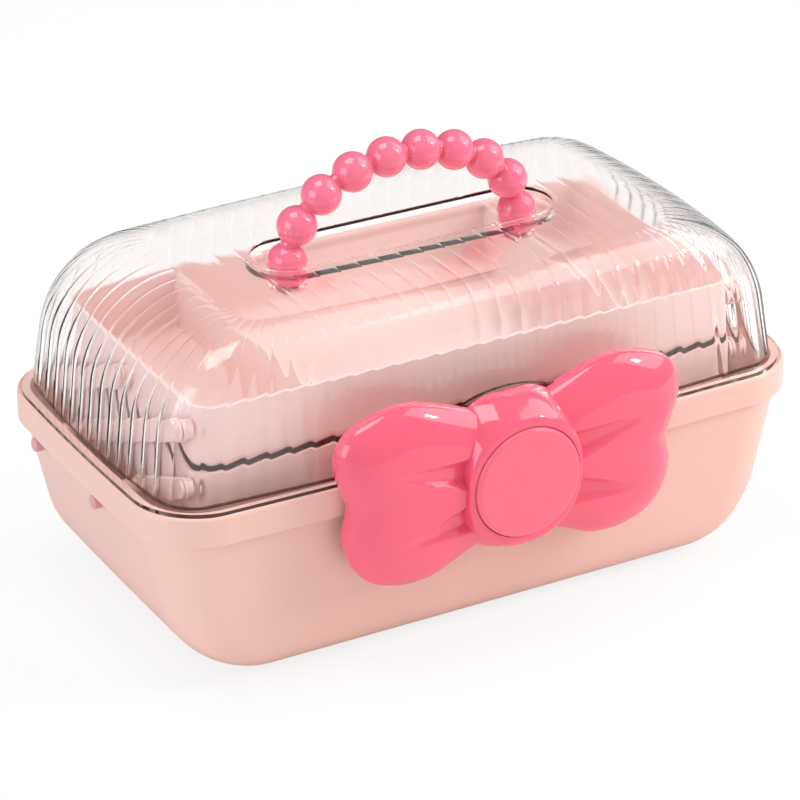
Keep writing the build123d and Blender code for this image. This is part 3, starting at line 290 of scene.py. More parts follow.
outer, outer_faces, around = lid_skin(0.0, True)
inner, inner_faces, around = lid_skin(LID_WALL, False)
flange = lid_ring(*FLANGE_HALF, FLANGE_CORNER, FLANGE_BOW)
lid_vertices = outer + inner
for z in (FLANGE_TOP, FLANGE_LOW):
    lid_vertices += [[x, y, z] for x, y in flange]
lid_vertices = [(x, y + MIDDLE_Y, z) for x, y, z in lid_vertices]
lid_faces = outer_faces + [tuple(v + len(outer) for v in face[::-1]) for face in inner_faces]
# The skins join round the flange: dome's foot, top of the flange, its underside, inside's foot.
chain = [0, len(outer) + len(inner), len(outer) + len(inner) + around, len(outer)]
for first, second in zip(chain, chain[1:]):
    for i in range(around):
        j = (i + 1) % around
        lid_faces.append((first + j, first + i, second + i, second + j))


CLEAR_IOR, CLEAR_GLOSS, CLEAR_WAVE = 1.49, 0.045, 0.02
# The second colour is painted shade on the flange's upright edges.
CLEAR_TINT, EDGE_PAINTED_SHADE = (1.0, 0.985, 0.98, 1.0), (0.10, 0.07, 0.07, 1.0)
EDGE_Z, EDGE_REACH = 0.0904, 0.0013    # middle and half height of the flange's upright edges
UPRIGHT = 0.5                          # a face whose normal rises less than this is upright


def clear_plastic_material():
    """Clear polystyrene: plain transmission, faintly uneven gloss and surface."""
    material = bpy.data.materials.new("clear_plastic")
    material.use_nodes = True
    nodes, links = material.node_tree.nodes, material.node_tree.links
    surface = nodes["Principled BSDF"]
    surface.inputs["Metallic"].default_value = 0.0
    surface.inputs["Transmission Weight"].default_value = 1.0
    surface.inputs["IOR"].default_value = CLEAR_IOR
    group = nodes.new("ShaderNodeGroup")
    group.node_tree = MOULDED
    group.inputs["Gloss"].default_value = CLEAR_GLOSS
    bump = nodes.new("ShaderNodeBump")
    bump.inputs["Strength"].default_value = CLEAR_WAVE
    bump.inputs["Distance"].default_value = PEEL_DEPTH
    links.new(group.outputs["Rough"], surface.inputs["Roughness"])
    links.new(group.outputs["Height"], bump.inputs["Height"])
    links.new(bump.outputs["Normal"], surface.inputs["Normal"])
    # The upright edges of the flange are tinted near black: painted shade for the shadowed gap between the
    # flange and the tub's band.
    place = nodes.new("ShaderNodeTexCoord")
    point, facing = nodes.new("ShaderNodeSeparateXYZ"), nodes.new("ShaderNodeSeparateXYZ")
    links.new(place.outputs["Object"], point.inputs[0])
    links.new(place.outputs["Normal"], facing.inputs[0])
    low, upright, both = [nodes.new("ShaderNodeMath") for _ in range(3)]
    low.operation, upright.operation, both.operation = "COMPARE", "COMPARE", "MULTIPLY"
    low.inputs[1].default_value, low.inputs[2].default_value = EDGE_Z, EDGE_REACH
    upright.inputs[1].default_value, upright.inputs[2].default_value = 0.0, UPRIGHT
    links.new(point.outputs["Z"], low.inputs[0])
    links.new(facing.outputs["Z"], upright.inputs[0])
    links.new(low.outputs[0], both.inputs[0])
    links.new(upright.outputs[0], both.inputs[1])
    painted_edge_shade = nodes.new("ShaderNodeMix")
    painted_edge_shade.data_type = "RGBA"
    links.new(both.outputs[0], painted_edge_shade.inputs[0])
    painted_edge_shade.inputs[MIX_A].default_value = CLEAR_TINT
    painted_edge_shade.inputs[MIX_B].default_value = EDGE_PAINTED_SHADE
    links.new(painted_edge_shade.outputs[MIX_RESULT], surface.inputs["Base Color"])
    return material


clear_plastic = clear_plastic_material()


ROD_SIDES, CROSS_ROD_SIDES = 64, 48    # of temporary rods along Z and along X


def cutter(kind, low, high, radius=0.0, outline=()):
    """A temporary solid to join to or cut from a piece: box, rod along Z or X, obround, or plate."""
    work = bmesh.new()
    size = Vector(high) - Vector(low)
    middle = (Vector(high) + Vector(low)) / 2
    if kind == "box":
        bmesh.ops.create_cube(work, size=1.0)
        bmesh.ops.scale(work, vec=size, verts=work.verts)
    elif kind == "rod_x":
        bmesh.ops.create_cone(work, cap_ends=True, segments=CROSS_ROD_SIDES, radius1=radius,
                              radius2=radius, depth=size.x)
        bmesh.ops.rotate(work, matrix=Matrix.Rotation(math.pi / 2, 3, "Y"), verts=work.verts)
    elif kind == "rod_z":
        bmesh.ops.create_cone(work, cap_ends=True, segments=ROD_SIDES, radius1=radius,
                              radius2=radius, depth=size.z)
    elif kind == "plate":
        front = [work.verts.new((x, -size.y / 2, z)) for x, z in outline]
        rear = [work.verts.new((x, size.y / 2, z)) for x, z in outline]
        work.faces.new(front)
        work.faces.new(rear[::-1])
        for k in range(len(outline)):
            j = (k + 1) % len(outline)
            work.faces.new((front[k], front[j], rear[j], rear[k]))
    else:
        reach = size.x / 2 - radius
        ring = []
        for k in range(ROD_SIDES):
            t = 2 * math.pi * (k + 0.5) / ROD_SIDES
            ring.append((math.copysign(reach, math.cos(t)) + radius * math.cos(t), radius * math.sin(t)))
        foot = [work.verts.new((x, y, -size.z / 2)) for x, y in ring]
        head = [work.verts.new((x, y, size.z / 2)) for x, y in ring]
        work.faces.new(foot[::-1])
        work.faces.new(head)
        for k in range(ROD_SIDES):
            j = (k + 1) % ROD_SIDES
            work.faces.new((foot[k], foot[j], head[j], head[k]))
    bmesh.ops.translate(work, vec=middle, verts=work.verts)
    bmesh.ops.recalc_face_normals(work, faces=work.faces)
    mesh = bpy.data.meshes.new("cutter")
    work.to_mesh(mesh)
    work.free()
    item = bpy.data.objects.new("cutter", mesh)
    bpy.context.scene.collection.objects.link(item)
    return item


def carve(piece, tools):
    """Joins or cuts each temporary solid, then leaves piece a plain mesh."""
    for operation, tool in tools:
        boolean = piece.modifiers.new("carve", "BOOLEAN")
        boolean.operation = operation
        boolean.solver = "MANIFOLD"
        boolean.object = tool
    bpy.context.view_layer.update()
    seen = piece.evaluated_get(bpy.context.evaluated_depsgraph_get())
    mesh = bpy.data.meshes.new_from_object(seen)
    piece.modifiers.clear()
    material = piece.data.materials[0]
    mesh.materials.clear()
    mesh.materials.append(material)
    mesh.polygons.foreach_set("material_index", [0] * len(mesh.polygons))
    old, piece.data = piece.data, mesh
    mesh.name = piece.name
    bpy.data.meshes.remove(old)
    for _, tool in tools:
        bpy.data.meshes.remove(tool.data)
    return piece


LID_TOP = RIM_Z + LID_HEIGHT
HANDLE_SPAN = 0.0576                   # from the middle of the case to a post of the handle
RECESS_Z = LID_TOP - 0.0042            # floor of the sunk seat of the handle
RECESS_RADIUS = 0.016
RECESS_CUT = 0.010                     # the cut runs up past the ribs of the top
SOCKET_RADIUS, SOCKET_DEPTH = 0.0081, 0.012
BORE_RADIUS, BORE_DEPTH = 0.0059, 0.0099
SCREW_HOLE_RADIUS = 0.0017
HASP_BACK_Y = MIDDLE_Y - 0.0874
HASP_THICKNESS = 0.0018
HASP_HALF_X, HASP_FOOT_Z = 0.023, 0.0891
ARCH_TOP_Z, ARCH_FALL, ARCH_STEPS = 0.1196, 0.0046, 12
WEB_END_Y, WEB_Z = MIDDLE_Y - 0.0815, (0.0904, 0.0924)
TAIL_HALF_X, TAIL_END_Z = 0.010, 0.074
LIP_DEPTH, LIP_TOP_Z = 0.0018, 0.0764
HINGE_X, HINGE_Y, HINGE_Z = 0.086, MIDDLE_Y + 0.0917, 0.088
ARM_START_Y, ARM_Z = MIDDLE_Y + 0.0788, (0.0904, 0.0925)
KNUCKLE_HALF, KNUCKLE_RADIUS, KNUCKLE_BORE = 0.007, 0.0045, 0.00168
PAST = 0.001                           # how far a cut runs past the face where it comes out
SUNK, LAPPED, APART = 0.0005, 0.0001, 0.00001     # joined solids overlap, or stay off a shared plane
lid = mesh_object("clear_lid", lid_vertices, lid_faces, clear_plastic)
pan = RECESS_RADIUS + LID_WALL
tools = [("UNION", cutter("obround", (-HANDLE_SPAN - pan, MIDDLE_Y, RECESS_Z - LID_WALL),
                          (HANDLE_SPAN + pan, MIDDLE_Y, LID_TOP - PAST), pan))]
for x in (-HANDLE_SPAN, HANDLE_SPAN):
    tools.append(("UNION", cutter("rod_z", (x, MIDDLE_Y, RECESS_Z - SOCKET_DEPTH),
                                  (x, MIDDLE_Y, RECESS_Z - SUNK), SOCKET_RADIUS)))
tools.append(("DIFFERENCE", cutter("obround", (-HANDLE_SPAN - RECESS_RADIUS, MIDDLE_Y, RECESS_Z),
                                   (HANDLE_SPAN + RECESS_RADIUS, MIDDLE_Y, RECESS_Z + RECESS_CUT),
                                   RECESS_RADIUS)))
for x in (-HANDLE_SPAN, HANDLE_SPAN):
    tools.append(("DIFFERENCE", cutter("rod_z", (x, MIDDLE_Y, RECESS_Z - BORE_DEPTH),
                                       (x, MIDDLE_Y, RECESS_Z + PAST), BORE_RADIUS)))
    tools.append(("DIFFERENCE", cutter("rod_z", (x, MIDDLE_Y, RECESS_Z - SOCKET_DEPTH - 2 * PAST),
                                       (x, MIDDLE_Y, RECESS_Z + PAST), SCREW_HOLE_RADIUS)))

# Hasp: arched tab behind the bow's knot, the web that joins it to the flange, its tail and lip.
arch = []
for k in range(-ARCH_STEPS, ARCH_STEPS + 1):
    arch.append((HASP_HALF_X * k / ARCH_STEPS, ARCH_TOP_Z - ARCH_FALL * (k / ARCH_STEPS) ** 2))
tools.append(("UNION", cutter("plate", (0, HASP_BACK_Y - HASP_THICKNESS, 0), (0, HASP_BACK_Y, 0),
                              outline=[(-HASP_HALF_X, HASP_FOOT_Z), *arch, (HASP_HALF_X, HASP_FOOT_Z)])))
tools.append(("UNION", cutter("box", (-HASP_HALF_X, HASP_BACK_Y - LAPPED, WEB_Z[0]),
                              (HASP_HALF_X, WEB_END_Y, WEB_Z[1]))))
tools.append(("UNION", cutter("box", (-TAIL_HALF_X, HASP_BACK_Y - HASP_THICKNESS + APART, TAIL_END_Z),
                              (TAIL_HALF_X, HASP_BACK_Y - APART, RIM_Z))))
tools.append(("UNION", cutter("box", (-TAIL_HALF_X, HASP_BACK_Y - LAPPED, TAIL_END_Z + APART),
                              (TAIL_HALF_X, HASP_BACK_Y + LIP_DEPTH, LIP_TOP_Z))))

# Arms and knuckles of the hinge, bored for the pins.
for x in (-HINGE_X, HINGE_X):
    left, right = x - KNUCKLE_HALF, x + KNUCKLE_HALF
    tools.append(("UNION", cutter("box", (left, ARM_START_Y, ARM_Z[0]), (right, HINGE_Y, ARM_Z[1]))))
    tools.append(("UNION", cutter("rod_x", (left, HINGE_Y, HINGE_Z), (right, HINGE_Y, HINGE_Z),
                                  KNUCKLE_RADIUS)))
    tools.append(("DIFFERENCE", cutter("rod_x", (left - PAST, HINGE_Y, HINGE_Z),
                                       (right + PAST, HINGE_Y, HINGE_Z), KNUCKLE_BORE)))
carve(lid, tools)
lid.data.shade_smooth()
lid.data.set_sharp_from_angle(angle=math.radians(38))
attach(lid, "lid")
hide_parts("lid")
lid.visible_shadow = False
lid.visible_diffuse = False

# ---------------------------------------------------------------- hinge pins
# Two pins of drawn steel wire, cut to length. Each is pressed through the knuckles of the
# tub and turns in those of the lid.
steel = moulded_plastic("steel", (0.62, 0.62, 0.63), (0.55, 0.55, 0.57), 0.28, Metallic=1.0)
finish_node("hinge_pins", steel)

# ---------------------------------------------------------------- handle
# Arch of glossy pink beads in one moulding, with half a bead at each end. A post under each
# half bead stands in a clear socket of the lid, held by a screw from inside.
bead_plastic = moulded_plastic("bead_plastic", (0.92, 0.175, 0.275), (0.90, 0.16, 0.255), 0.10, peel=0.02,
                               Coat_Weight=0.5)
HANDLE_RISE = 0.0395
BEADS, BEAD_RADIUS, NECK_RADIUS = 10, 0.009, 0.004
BALL_SIDES, BALL_RINGS, ARCH_POINTS = 48, 32, 129
POST_RADIUS, POST_DEPTH, POST_TOP = 0.006, 0.010, 0.004      # the post ends inside its half bead
PILOT_RADIUS, PILOT_END = 0.0015, 0.0033     # hole of the screw, from the post's foot
CUT_AWAY = Vector((0.08, 0.02, 0.02))        # what the flat of the half beads cuts off


def bead_tree():
    """Beads spaced evenly along half an ellipse in the XZ plane, with a neck running through them."""
    tree = bpy.data.node_groups.new("beads", "GeometryNodeTree")
    face = tree.interface
    for name, kind in (("Span", "Float"), ("Rise", "Float"), ("Beads", "Int"), ("Bead Radius", "Float"),
                       ("Neck Radius", "Float"), ("Plastic", "Material")):
        face.new_socket(name, in_out="INPUT", socket_type="NodeSocket" + kind)
    face.new_socket("Geometry", in_out="OUTPUT", socket_type="NodeSocketGeometry")
    nodes, links = tree.nodes, tree.links
    start, end = nodes.new("NodeGroupInput"), nodes.new("NodeGroupOutput")
    arc, scale = nodes.new("GeometryNodeCurveArc"), nodes.new("ShaderNodeCombineXYZ")
    arc.inputs["Resolution"].default_value = ARCH_POINTS
    arc.inputs["Radius"].default_value = 1.0
    arc.inputs["Sweep Angle"].default_value = math.pi
    arch, stand = nodes.new("GeometryNodeTransform"), nodes.new("GeometryNodeTransform")
    links.new(start.outputs["Span"], scale.inputs["X"])
    links.new(start.outputs["Rise"], scale.inputs["Y"])
    scale.inputs["Z"].default_value = 1.0
    links.new(arc.outputs["Curve"], arch.inputs["Geometry"])
    links.new(scale.outputs[0], arch.inputs["Scale"])
    links.new(arch.outputs[0], stand.inputs["Geometry"])
    stand.inputs["Rotation"].default_value = (math.pi / 2, 0, 0)
    even, whole = nodes.new("GeometryNodeResampleCurve"), nodes.new("GeometryNodeInstanceOnPoints")
    ball, real = nodes.new("GeometryNodeMeshUVSphere"), nodes.new("GeometryNodeRealizeInstances")
    ball.inputs["Segments"].default_value = BALL_SIDES
    ball.inputs["Rings"].default_value = BALL_RINGS
    links.new(start.outputs["Bead Radius"], ball.inputs["Radius"])
    links.new(stand.outputs[0], even.inputs["Curve"])
    links.new(start.outputs["Beads"], even.inputs["Count"])
    links.new(even.outputs[0], whole.inputs["Points"])
    links.new(ball.outputs["Mesh"], whole.inputs["Instance"])
    ring, neck = nodes.new("GeometryNodeCurvePrimitiveCircle"), nodes.new("GeometryNodeCurveToMesh")
    links.new(start.outputs["Neck Radius"], ring.inputs["Radius"])
    links.new(stand.outputs[0], neck.inputs["Curve"])
    links.new(ring.outputs["Curve"], neck.inputs["Profile Curve"])
    neck.inputs["Fill Caps"].default_value = True
    both, paint = nodes.new("GeometryNodeJoinGeometry"), nodes.new("GeometryNodeSetMaterial")
    links.new(neck.outputs[0], both.inputs[0])
    links.new(whole.outputs[0], both.inputs[0])
    links.new(both.outputs[0], real.inputs[0])
    links.new(real.outputs[0], paint.inputs["Geometry"])
    links.new(start.outputs["Plastic"], paint.inputs["Material"])
    links.new(paint.outputs[0], end.inputs[0])
    return tree


def grown(name, tree, values, material):
    """The plain mesh that a Geometry Nodes tree makes from the named values."""
    item = mesh_object(name, [], [], material)
    nodes = item.modifiers.new("grow", "NODES")
    nodes.node_group = tree
    for socket in tree.interface.items_tree:
        if socket.in_out == "INPUT":
            nodes[socket.identifier] = values[socket.name]
    bpy.context.view_layer.update()
    mesh = bpy.data.meshes.new_from_object(item.evaluated_get(bpy.context.evaluated_depsgraph_get()))
    item.modifiers.clear()
    mesh.materials.clear()
    mesh.materials.append(material)
    old, item.data = item.data, mesh
    mesh.name = name
    bpy.data.meshes.remove(old)
    return item


handle = grown("handle", bead_tree(), {"Span": HANDLE_SPAN, "Rise": HANDLE_RISE, "Beads": BEADS,
                                       "Bead Radius": BEAD_RADIUS, "Neck Radius": NECK_RADIUS,
                                       "Plastic": bead_plastic}, bead_plastic)
for v in handle.data.vertices:
    v.co += Vector((0, MIDDLE_Y, RECESS_Z))
tools = [("DIFFERENCE", cutter("box", (-CUT_AWAY.x, MIDDLE_Y - CUT_AWAY.y, RECESS_Z - CUT_AWAY.z),
                               (CUT_AWAY.x, MIDDLE_Y + CUT_AWAY.y, RECESS_Z)))]
for x in (-HANDLE_SPAN, HANDLE_SPAN):
    tools.append(("UNION", cutter("rod_z", (x, MIDDLE_Y, RECESS_Z - POST_DEPTH),
                                  (x, MIDDLE_Y, RECESS_Z + POST_TOP), POST_RADIUS)))
    tools.append(("DIFFERENCE", cutter("rod_z", (x, MIDDLE_Y, RECESS_Z - POST_DEPTH - PAST),
                                       (x, MIDDLE_Y, RECESS_Z - PILOT_END), PILOT_RADIUS)))
carve(handle, tools)
handle.data.shade_smooth()
handle.data.set_sharp_from_angle(angle=math.radians(35))
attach(handle, "lid")
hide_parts("bead_handle")
finish_node("handle_screws", steel)

# ---------------------------------------------------------------- trays
# Two shallow moulded trays of the same pale pink plastic, a little rosier than the tub, and
# the loose dividers of the lower one. The trays hang on the links at their ends.
tray_plastic = moulded_plastic("tray_plastic", (0.90, 0.64, 0.60), (0.88, 0.62, 0.58), 0.36)
for node in ("upper_tray", "lower_tray", "tray_dividers"):
    finish_node(node, tray_plastic)

# ---------------------------------------------------------------- links and pins
# Flat moulded links on both ends of the trays, with round-headed pins of the same pink
# plastic. The links turn on the pins, which are pressed into bosses on the trays' ends.
link_plastic = moulded_plastic("link_plastic", (0.84, 0.56, 0.52), (0.82, 0.54, 0.50), 0.36)
for node in ("long_link_right", "long_link_left", "front_link_right", "front_link_left",
             "rear_link_right", "rear_link_left", "lower_tray_pins", "upper_tray_pins"):
    finish_node(node, link_plastic)

# ---------------------------------------------------------------- base pins
# Four pins of deeper pink plastic through the tub's ends, which the links turn on. Each has
# a round head outside the case, just under the band.
BASE_PIN_Y = (MIDDLE_Y - 0.0178, MIDDLE_Y + 0.0425)
BASE_PIN_Z = 0.0735
HEAD_DROP = 0.0007           # the head's middle is lower than the shank's
PIN_SIDES = 40
BASE_PIN_STATIONS = (        # distance from the middle of the case, radius, drop of the centre
    (0.1354, 0.0034, 0), (0.1362, 0.0034, 0), (0.1362, 0.0025, 0), (0.1584, 0.0025, 0),
    (0.1584, 0.0033, HEAD_DROP), (0.1612, 0.0033, HEAD_DROP), (0.1617, 0.0031, HEAD_DROP),
    (0.1620, 0.0026, HEAD_DROP), (0.1622, 0.0018, HEAD_DROP))


def turned_pin(y, side):
    """Rings of one pin along X, from its inner end to the crown of its head."""
    rings = []
    turn = np.linspace(0, 2 * math.pi, PIN_SIDES, endpoint=False)
    for x, radius, drop in BASE_PIN_STATIONS:
        rings.append(np.stack([np.full(PIN_SIDES, side * x), y + radius * np.cos(turn),
                               BASE_PIN_Z - drop + radius * np.sin(turn)], axis=1))
    return rings


def rings_object(name, rings, material):
    """Closed solid from rings of (x, y, z) points; the first and last rings are capped."""
    count = len(rings[0])
    vertices = np.concatenate(rings)
    faces = []
    for k in range(len(rings) - 1):
        for i in range(count):
            j = (i + 1) % count
            faces.append((k * count + i, k * count + j, (k + 1) * count + j, (k + 1) * count + i))
    faces.append(tuple(range(count))[::-1])
    faces.append(tuple(range((len(rings) - 1) * count, len(rings) * count)))
    return mesh_object(name, vertices, faces, material)


pin_plastic = moulded_plastic("pin_plastic", (0.72, 0.33, 0.34), (0.68, 0.30, 0.31), 0.30)
base_pins = rings_object("base_pin_set", turned_pin(BASE_PIN_Y[0], -1), pin_plastic)
carve(base_pins, [("UNION", rings_object("pin", turned_pin(y, side), pin_plastic))
                  for y, side in ((BASE_PIN_Y[1], -1), (BASE_PIN_Y[0], 1), (BASE_PIN_Y[1], 1))])
base_pins.data.shade_smooth()
base_pins.data.set_sharp_from_angle(angle=math.radians(35))
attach(base_pins, "base")
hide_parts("base_pins")

# ---------------------------------------------------------------- bow
# Hollow moulded bow of glossy pink plastic: two puffed loops with folds, and the knot with
# a sleeve for the button. Four screws from inside the tub hold it and its flat back plate.
BOW_Z = 0.0825
BOW_BACK_Y = MIDDLE_Y - 0.0883
BOW_HALF = (0.084, 0.0425)
BOW_DEPTH = 0.0175
BOW_WALL = 0.0024
LOOP_EDGE = (                # edge of the right loop in shares of the half sizes, from the knot
    (0.03, 0.40), (0.06, 0.57), (0.19, 0.72), (0.37, 0.87), (0.53, 0.97), (0.66, 0.99), (0.79, 0.94),
    (0.91, 0.84), (0.98, 0.68), (1.00, 0.45), (0.965, 0.20), (0.93, 0.0), (0.94, -0.17), (0.955, -0.33),
    (0.94, -0.52), (0.90, -0.71), (0.81, -0.89), (0.68, -0.98), (0.57, -1.00), (0.46, -0.97),
    (0.32, -0.85), (0.19, -0.74), (0.06, -0.62), (0.03, -0.44))
LOOP_MIDDLE = 0.55
LOOP_SWELL = (               # share of the depth, share of the outline
    (0.0, 0.985), (0.12, 1.0), (0.30, 1.0), (0.44, 0.978), (0.57, 0.93), (0.69, 0.865), (0.79, 0.785),
    (0.87, 0.70), (0.925, 0.60), (0.963, 0.49), (0.985, 0.36), (0.997, 0.20), (1.0, 0.0))
KNOT_HALF = (0.0278, 0.036)
KNOT_FRONT_HALF_Z = 0.029
KNOT_DEPTH = 0.020
KNOT_ROUND = 0.0016
KNOT_BULGE = 0.008                     # four times how far its top and bottom swell halfway forward
KNOT_CORNER, KNOT_CORNER_GAIN = 0.020, 0.0065
KNOT_SIDES = 240
# Folds of the right loop: middle of the fold at the knot, half width there, tip, in metres.
FOLDS = ((0.0090, 0.0050, 0.060, 0.0156), (-0.0128, 0.0048, 0.057, -0.0180))
FOLD_DEPTH = 0.0038
FOLD_EDGE = 0.0012                     # half width of a fold at its tip
FOLD_START, FOLD_RISE = 0.45, 0.3      # shares of the bow's depth where the folds come in
OUTER_GRID, INNER_GRID = (320, 76), (160, 38)     # points round a loop, and rings from back to front
SLEEVE_RADIUS, SLEEVE_NEAR, SLEEVE_FAR = 0.0274, 0.011, 0.0182
BUTTON_BORE, BUTTON_BORE_END = 0.0259, 0.022
BOSS_RADIUS, BOSS_NEAR, BOSS_FAR = 0.0040, 0.0021, 0.0150
BOW_SCREW_HOLE, BOW_SCREW_HOLE_END = 0.0015, 0.0100
BOW_SCREW_X, BOW_SCREW_Z = 0.050, (0.064, 0.082)
HASP_SLOT = (0.0236, 0.0015, 0.037)    # half width, depth and height over the middle of the bow
CURVE_STEPS = 24                       # between two given points of a smooth curve


def smooth_curve(points, count, closed):
    """Points spread evenly along a smooth curve through the given ones."""
    points = np.array(points, float)
    if closed:
        rim = np.vstack([points[-1], points, points[0], points[1]])
    else:
        rim = np.vstack([2 * points[0] - points[1], points, 2 * points[-1] - points[-2]])
    dense = []
    for p0, p1, p2, p3 in zip(rim, rim[1:], rim[2:], rim[3:]):
        for t in np.linspace(0, 1, CURVE_STEPS, endpoint=False):
            dense.append(0.5 * (2 * p1 + (p2 - p0) * t + (2 * p0 - 5 * p1 + 4 * p2 - p3) * t * t
                                + (3 * p1 - p0 - 3 * p2 + p3) * t ** 3))
    dense.append(points[0] if closed else points[-1])
    dense = np.array(dense)
    run = np.concatenate([[0], np.cumsum(np.linalg.norm(np.diff(dense, axis=0), axis=1))])
    at = np.linspace(0, run[-1], count, endpoint=not closed)
    return np.stack([np.interp(at, run, dense[:, k]) for k in range(dense.shape[1])], axis=1)


def fold_depth(x, z):
    """Depth of the folds at a point of the right loop's front."""
    deep = np.zeros_like(x)
    for root_z, half, tip_x, tip_z in FOLDS:
        along = (x - KNOT_HALF[0]) / (tip_x - KNOT_HALF[0])
        fade = np.clip(1 - along, 0, 1.3)
        across = np.abs(z - (root_z + (tip_z - root_z) * along)) / (half * fade + FOLD_EDGE)
        t = np.clip((1.25 - across) / 0.75, 0, 1)
        deep = np.maximum(deep, FOLD_DEPTH * fade * t * t * (3 - 2 * t))
    return deep


def loop_solid(inset, side):
    """One puffed loop, drawn in by inset; its front carries the folds. The inside is coarser."""
    around, along = OUTER_GRID if inset == 0 else INNER_GRID
    edge = smooth_curve(LOOP_EDGE, around, True) * np.array(BOW_HALF)
    middle = np.array([LOOP_MIDDLE * BOW_HALF[0], 0.0])
    rings = []
    for share, scale in smooth_curve(LOOP_SWELL, along, False):
        scale = max(scale, 0.004) * (1 - inset / BOW_HALF[1])
        flat = middle + (edge - middle) * scale
        deep = share * (BOW_DEPTH - inset)
        fade = min(max((share - FOLD_START) / FOLD_RISE, 0.0), 1.0)
        depth = deep - fade * fold_depth(flat[:, 0], flat[:, 1])
        rings.append(np.stack([side * flat[:, 0], BOW_BACK_Y - depth, BOW_Z + flat[:, 1]], axis=1))
    return rings_object("loop", rings, bow_plastic)


def rounded_box(half_x, half_z, corner):
    """Points of a rounded rectangle, the same share of the way round in every ring."""
    points = []
    for k in range(KNOT_SIDES):
        t = 2 * math.pi * (k + 0.5) / KNOT_SIDES
        c, s = math.cos(t), math.sin(t)
        points.append((math.copysign(half_x - corner, c) + corner * c,
                       math.copysign(half_z - corner, s) + corner * s))
    return np.array(points)


def knot_solid(inset):
    """The knot, drawn in by inset: a barrel that is oblong behind and nearly round in front."""
    rings = []
    depth = KNOT_DEPTH - inset
    stations = [(d, 0.0) for d in np.linspace(0, depth - KNOT_ROUND, 14)]
    stations += [(depth - KNOT_ROUND * (1 - math.sin(t)), KNOT_ROUND * (1 - math.cos(t)))
                 for t in np.linspace(0, math.pi / 2, 7)[1:]]
    for d, drawn in stations:
        share = d / depth
        half_z = KNOT_HALF[1] + (KNOT_FRONT_HALF_Z - KNOT_HALF[1]) * share
        half_z += KNOT_BULGE * share * (1 - share)
        corner = KNOT_CORNER + KNOT_CORNER_GAIN * share - inset - drawn
        flat = rounded_box(KNOT_HALF[0] - inset - drawn, half_z - inset - drawn, corner)
        rings.append(np.stack([flat[:, 0], np.full(len(flat), BOW_BACK_Y - d), BOW_Z + flat[:, 1]], axis=1))
    return rings_object("knot", rings, bow_plastic)


def rod_y(radius, near, far, x, z):
    """Temporary rod along Y between two depths in front of the bow's back."""
    rod = cutter("rod_z", (0, 0, 0), (0, 0, far - near), radius)
    for v in rod.data.vertices:
        px, py, pz = v.co
        v.co = (x + px, BOW_BACK_Y - near - pz, z + py)
    return rod


bow_plastic = moulded_plastic("bow_plastic", (0.92, 0.11, 0.19), (0.90, 0.10, 0.175), 0.09, peel=0.02,
                              Coat_Weight=0.6)
bow = loop_solid(0.0, 1)
bow.name = "bow"
screws = [(x, z) for x in (-BOW_SCREW_X, BOW_SCREW_X) for z in BOW_SCREW_Z]
tools = [("UNION", loop_solid(0.0, -1)), ("UNION", knot_solid(0.0)),
         ("DIFFERENCE", loop_solid(BOW_WALL, 1)), ("DIFFERENCE", loop_solid(BOW_WALL, -1)),
         ("DIFFERENCE", knot_solid(BOW_WALL)),
         ("UNION", rod_y(SLEEVE_RADIUS, SLEEVE_NEAR, SLEEVE_FAR, 0, BOW_Z)),
         ("DIFFERENCE", rod_y(BUTTON_BORE, -PAST, BUTTON_BORE_END, 0, BOW_Z))]
tools += [("UNION", rod_y(BOSS_RADIUS, BOSS_NEAR, BOSS_FAR, x, z)) for x, z in screws]
tools += [("DIFFERENCE", rod_y(BOW_SCREW_HOLE, -PAST, BOW_SCREW_HOLE_END, x, z)) for x, z in screws]
tools.append(("DIFFERENCE", cutter("box", (-HASP_SLOT[0], BOW_BACK_Y - HASP_SLOT[1], BOW_Z),
                                   (HASP_SLOT[0], BOW_BACK_Y + PAST, BOW_Z + HASP_SLOT[2]))))
carve(bow, tools)
bow.data.shade_smooth()
bow.data.set_sharp_from_angle(angle=math.radians(32))
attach(bow, "base")
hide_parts("bow_shell")
finish_node("bow_plate", bow_plastic)
finish_node("bow_screws", steel)

# ---------------------------------------------------------------- push button
# Round push button of the same pink plastic, but satin. It slides in the knot's sleeve, and
# its stop lip keeps it from coming out at the front.
button_plastic = moulded_plastic("button_plastic", (0.93, 0.15, 0.225), (0.92, 0.14, 0.215), 0.34)
finish_node("push_button", button_plastic)

# ---------------------------------------------------------------- button springs
# Two small coil springs of round steel wire, between the bow's plate and the button's cap.
# They shorten as the button goes in.
SPRING_RADIUS = 0.0019
SPRING_WIRE = 0.00035
SPRING_TURNS = 6
TURN_STEPS = 20              # points of the wire in one turn
WIRE_SIDES = 8
SPRINGS_LOW, SPRINGS_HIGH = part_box("button_springs")


def spring_rings(side):
    """Round sections along the wire of the spring at the left (-1) or the right (1)."""
    middle_x = side * (SPRINGS_HIGH.x - SPRING_WIRE - SPRING_RADIUS)
    middle_z = (SPRINGS_LOW.z + SPRINGS_HIGH.z) / 2
    length = SPRINGS_HIGH.y - SPRINGS_LOW.y - 2 * SPRING_WIRE
    section = np.linspace(0, 2 * math.pi, WIRE_SIDES, endpoint=False)[:, None]
    rings = []
    for turn in np.linspace(0, 2 * math.pi * SPRING_TURNS, SPRING_TURNS * TURN_STEPS + 1):
        outwards = np.array((math.cos(turn), 0.0, math.sin(turn)))
        along = np.array((-math.sin(turn) * SPRING_RADIUS, -length / (2 * math.pi * SPRING_TURNS),
                          math.cos(turn) * SPRING_RADIUS))
        across = np.cross(along / np.linalg.norm(along), outwards)
        back = SPRINGS_HIGH.y - SPRING_WIRE - length * turn / (2 * math.pi * SPRING_TURNS)
        centre = np.array((middle_x, back, middle_z)) + outwards * SPRING_RADIUS
        rings.append(centre + SPRING_WIRE * (np.cos(section) * outwards + np.sin(section) * across))
    return rings


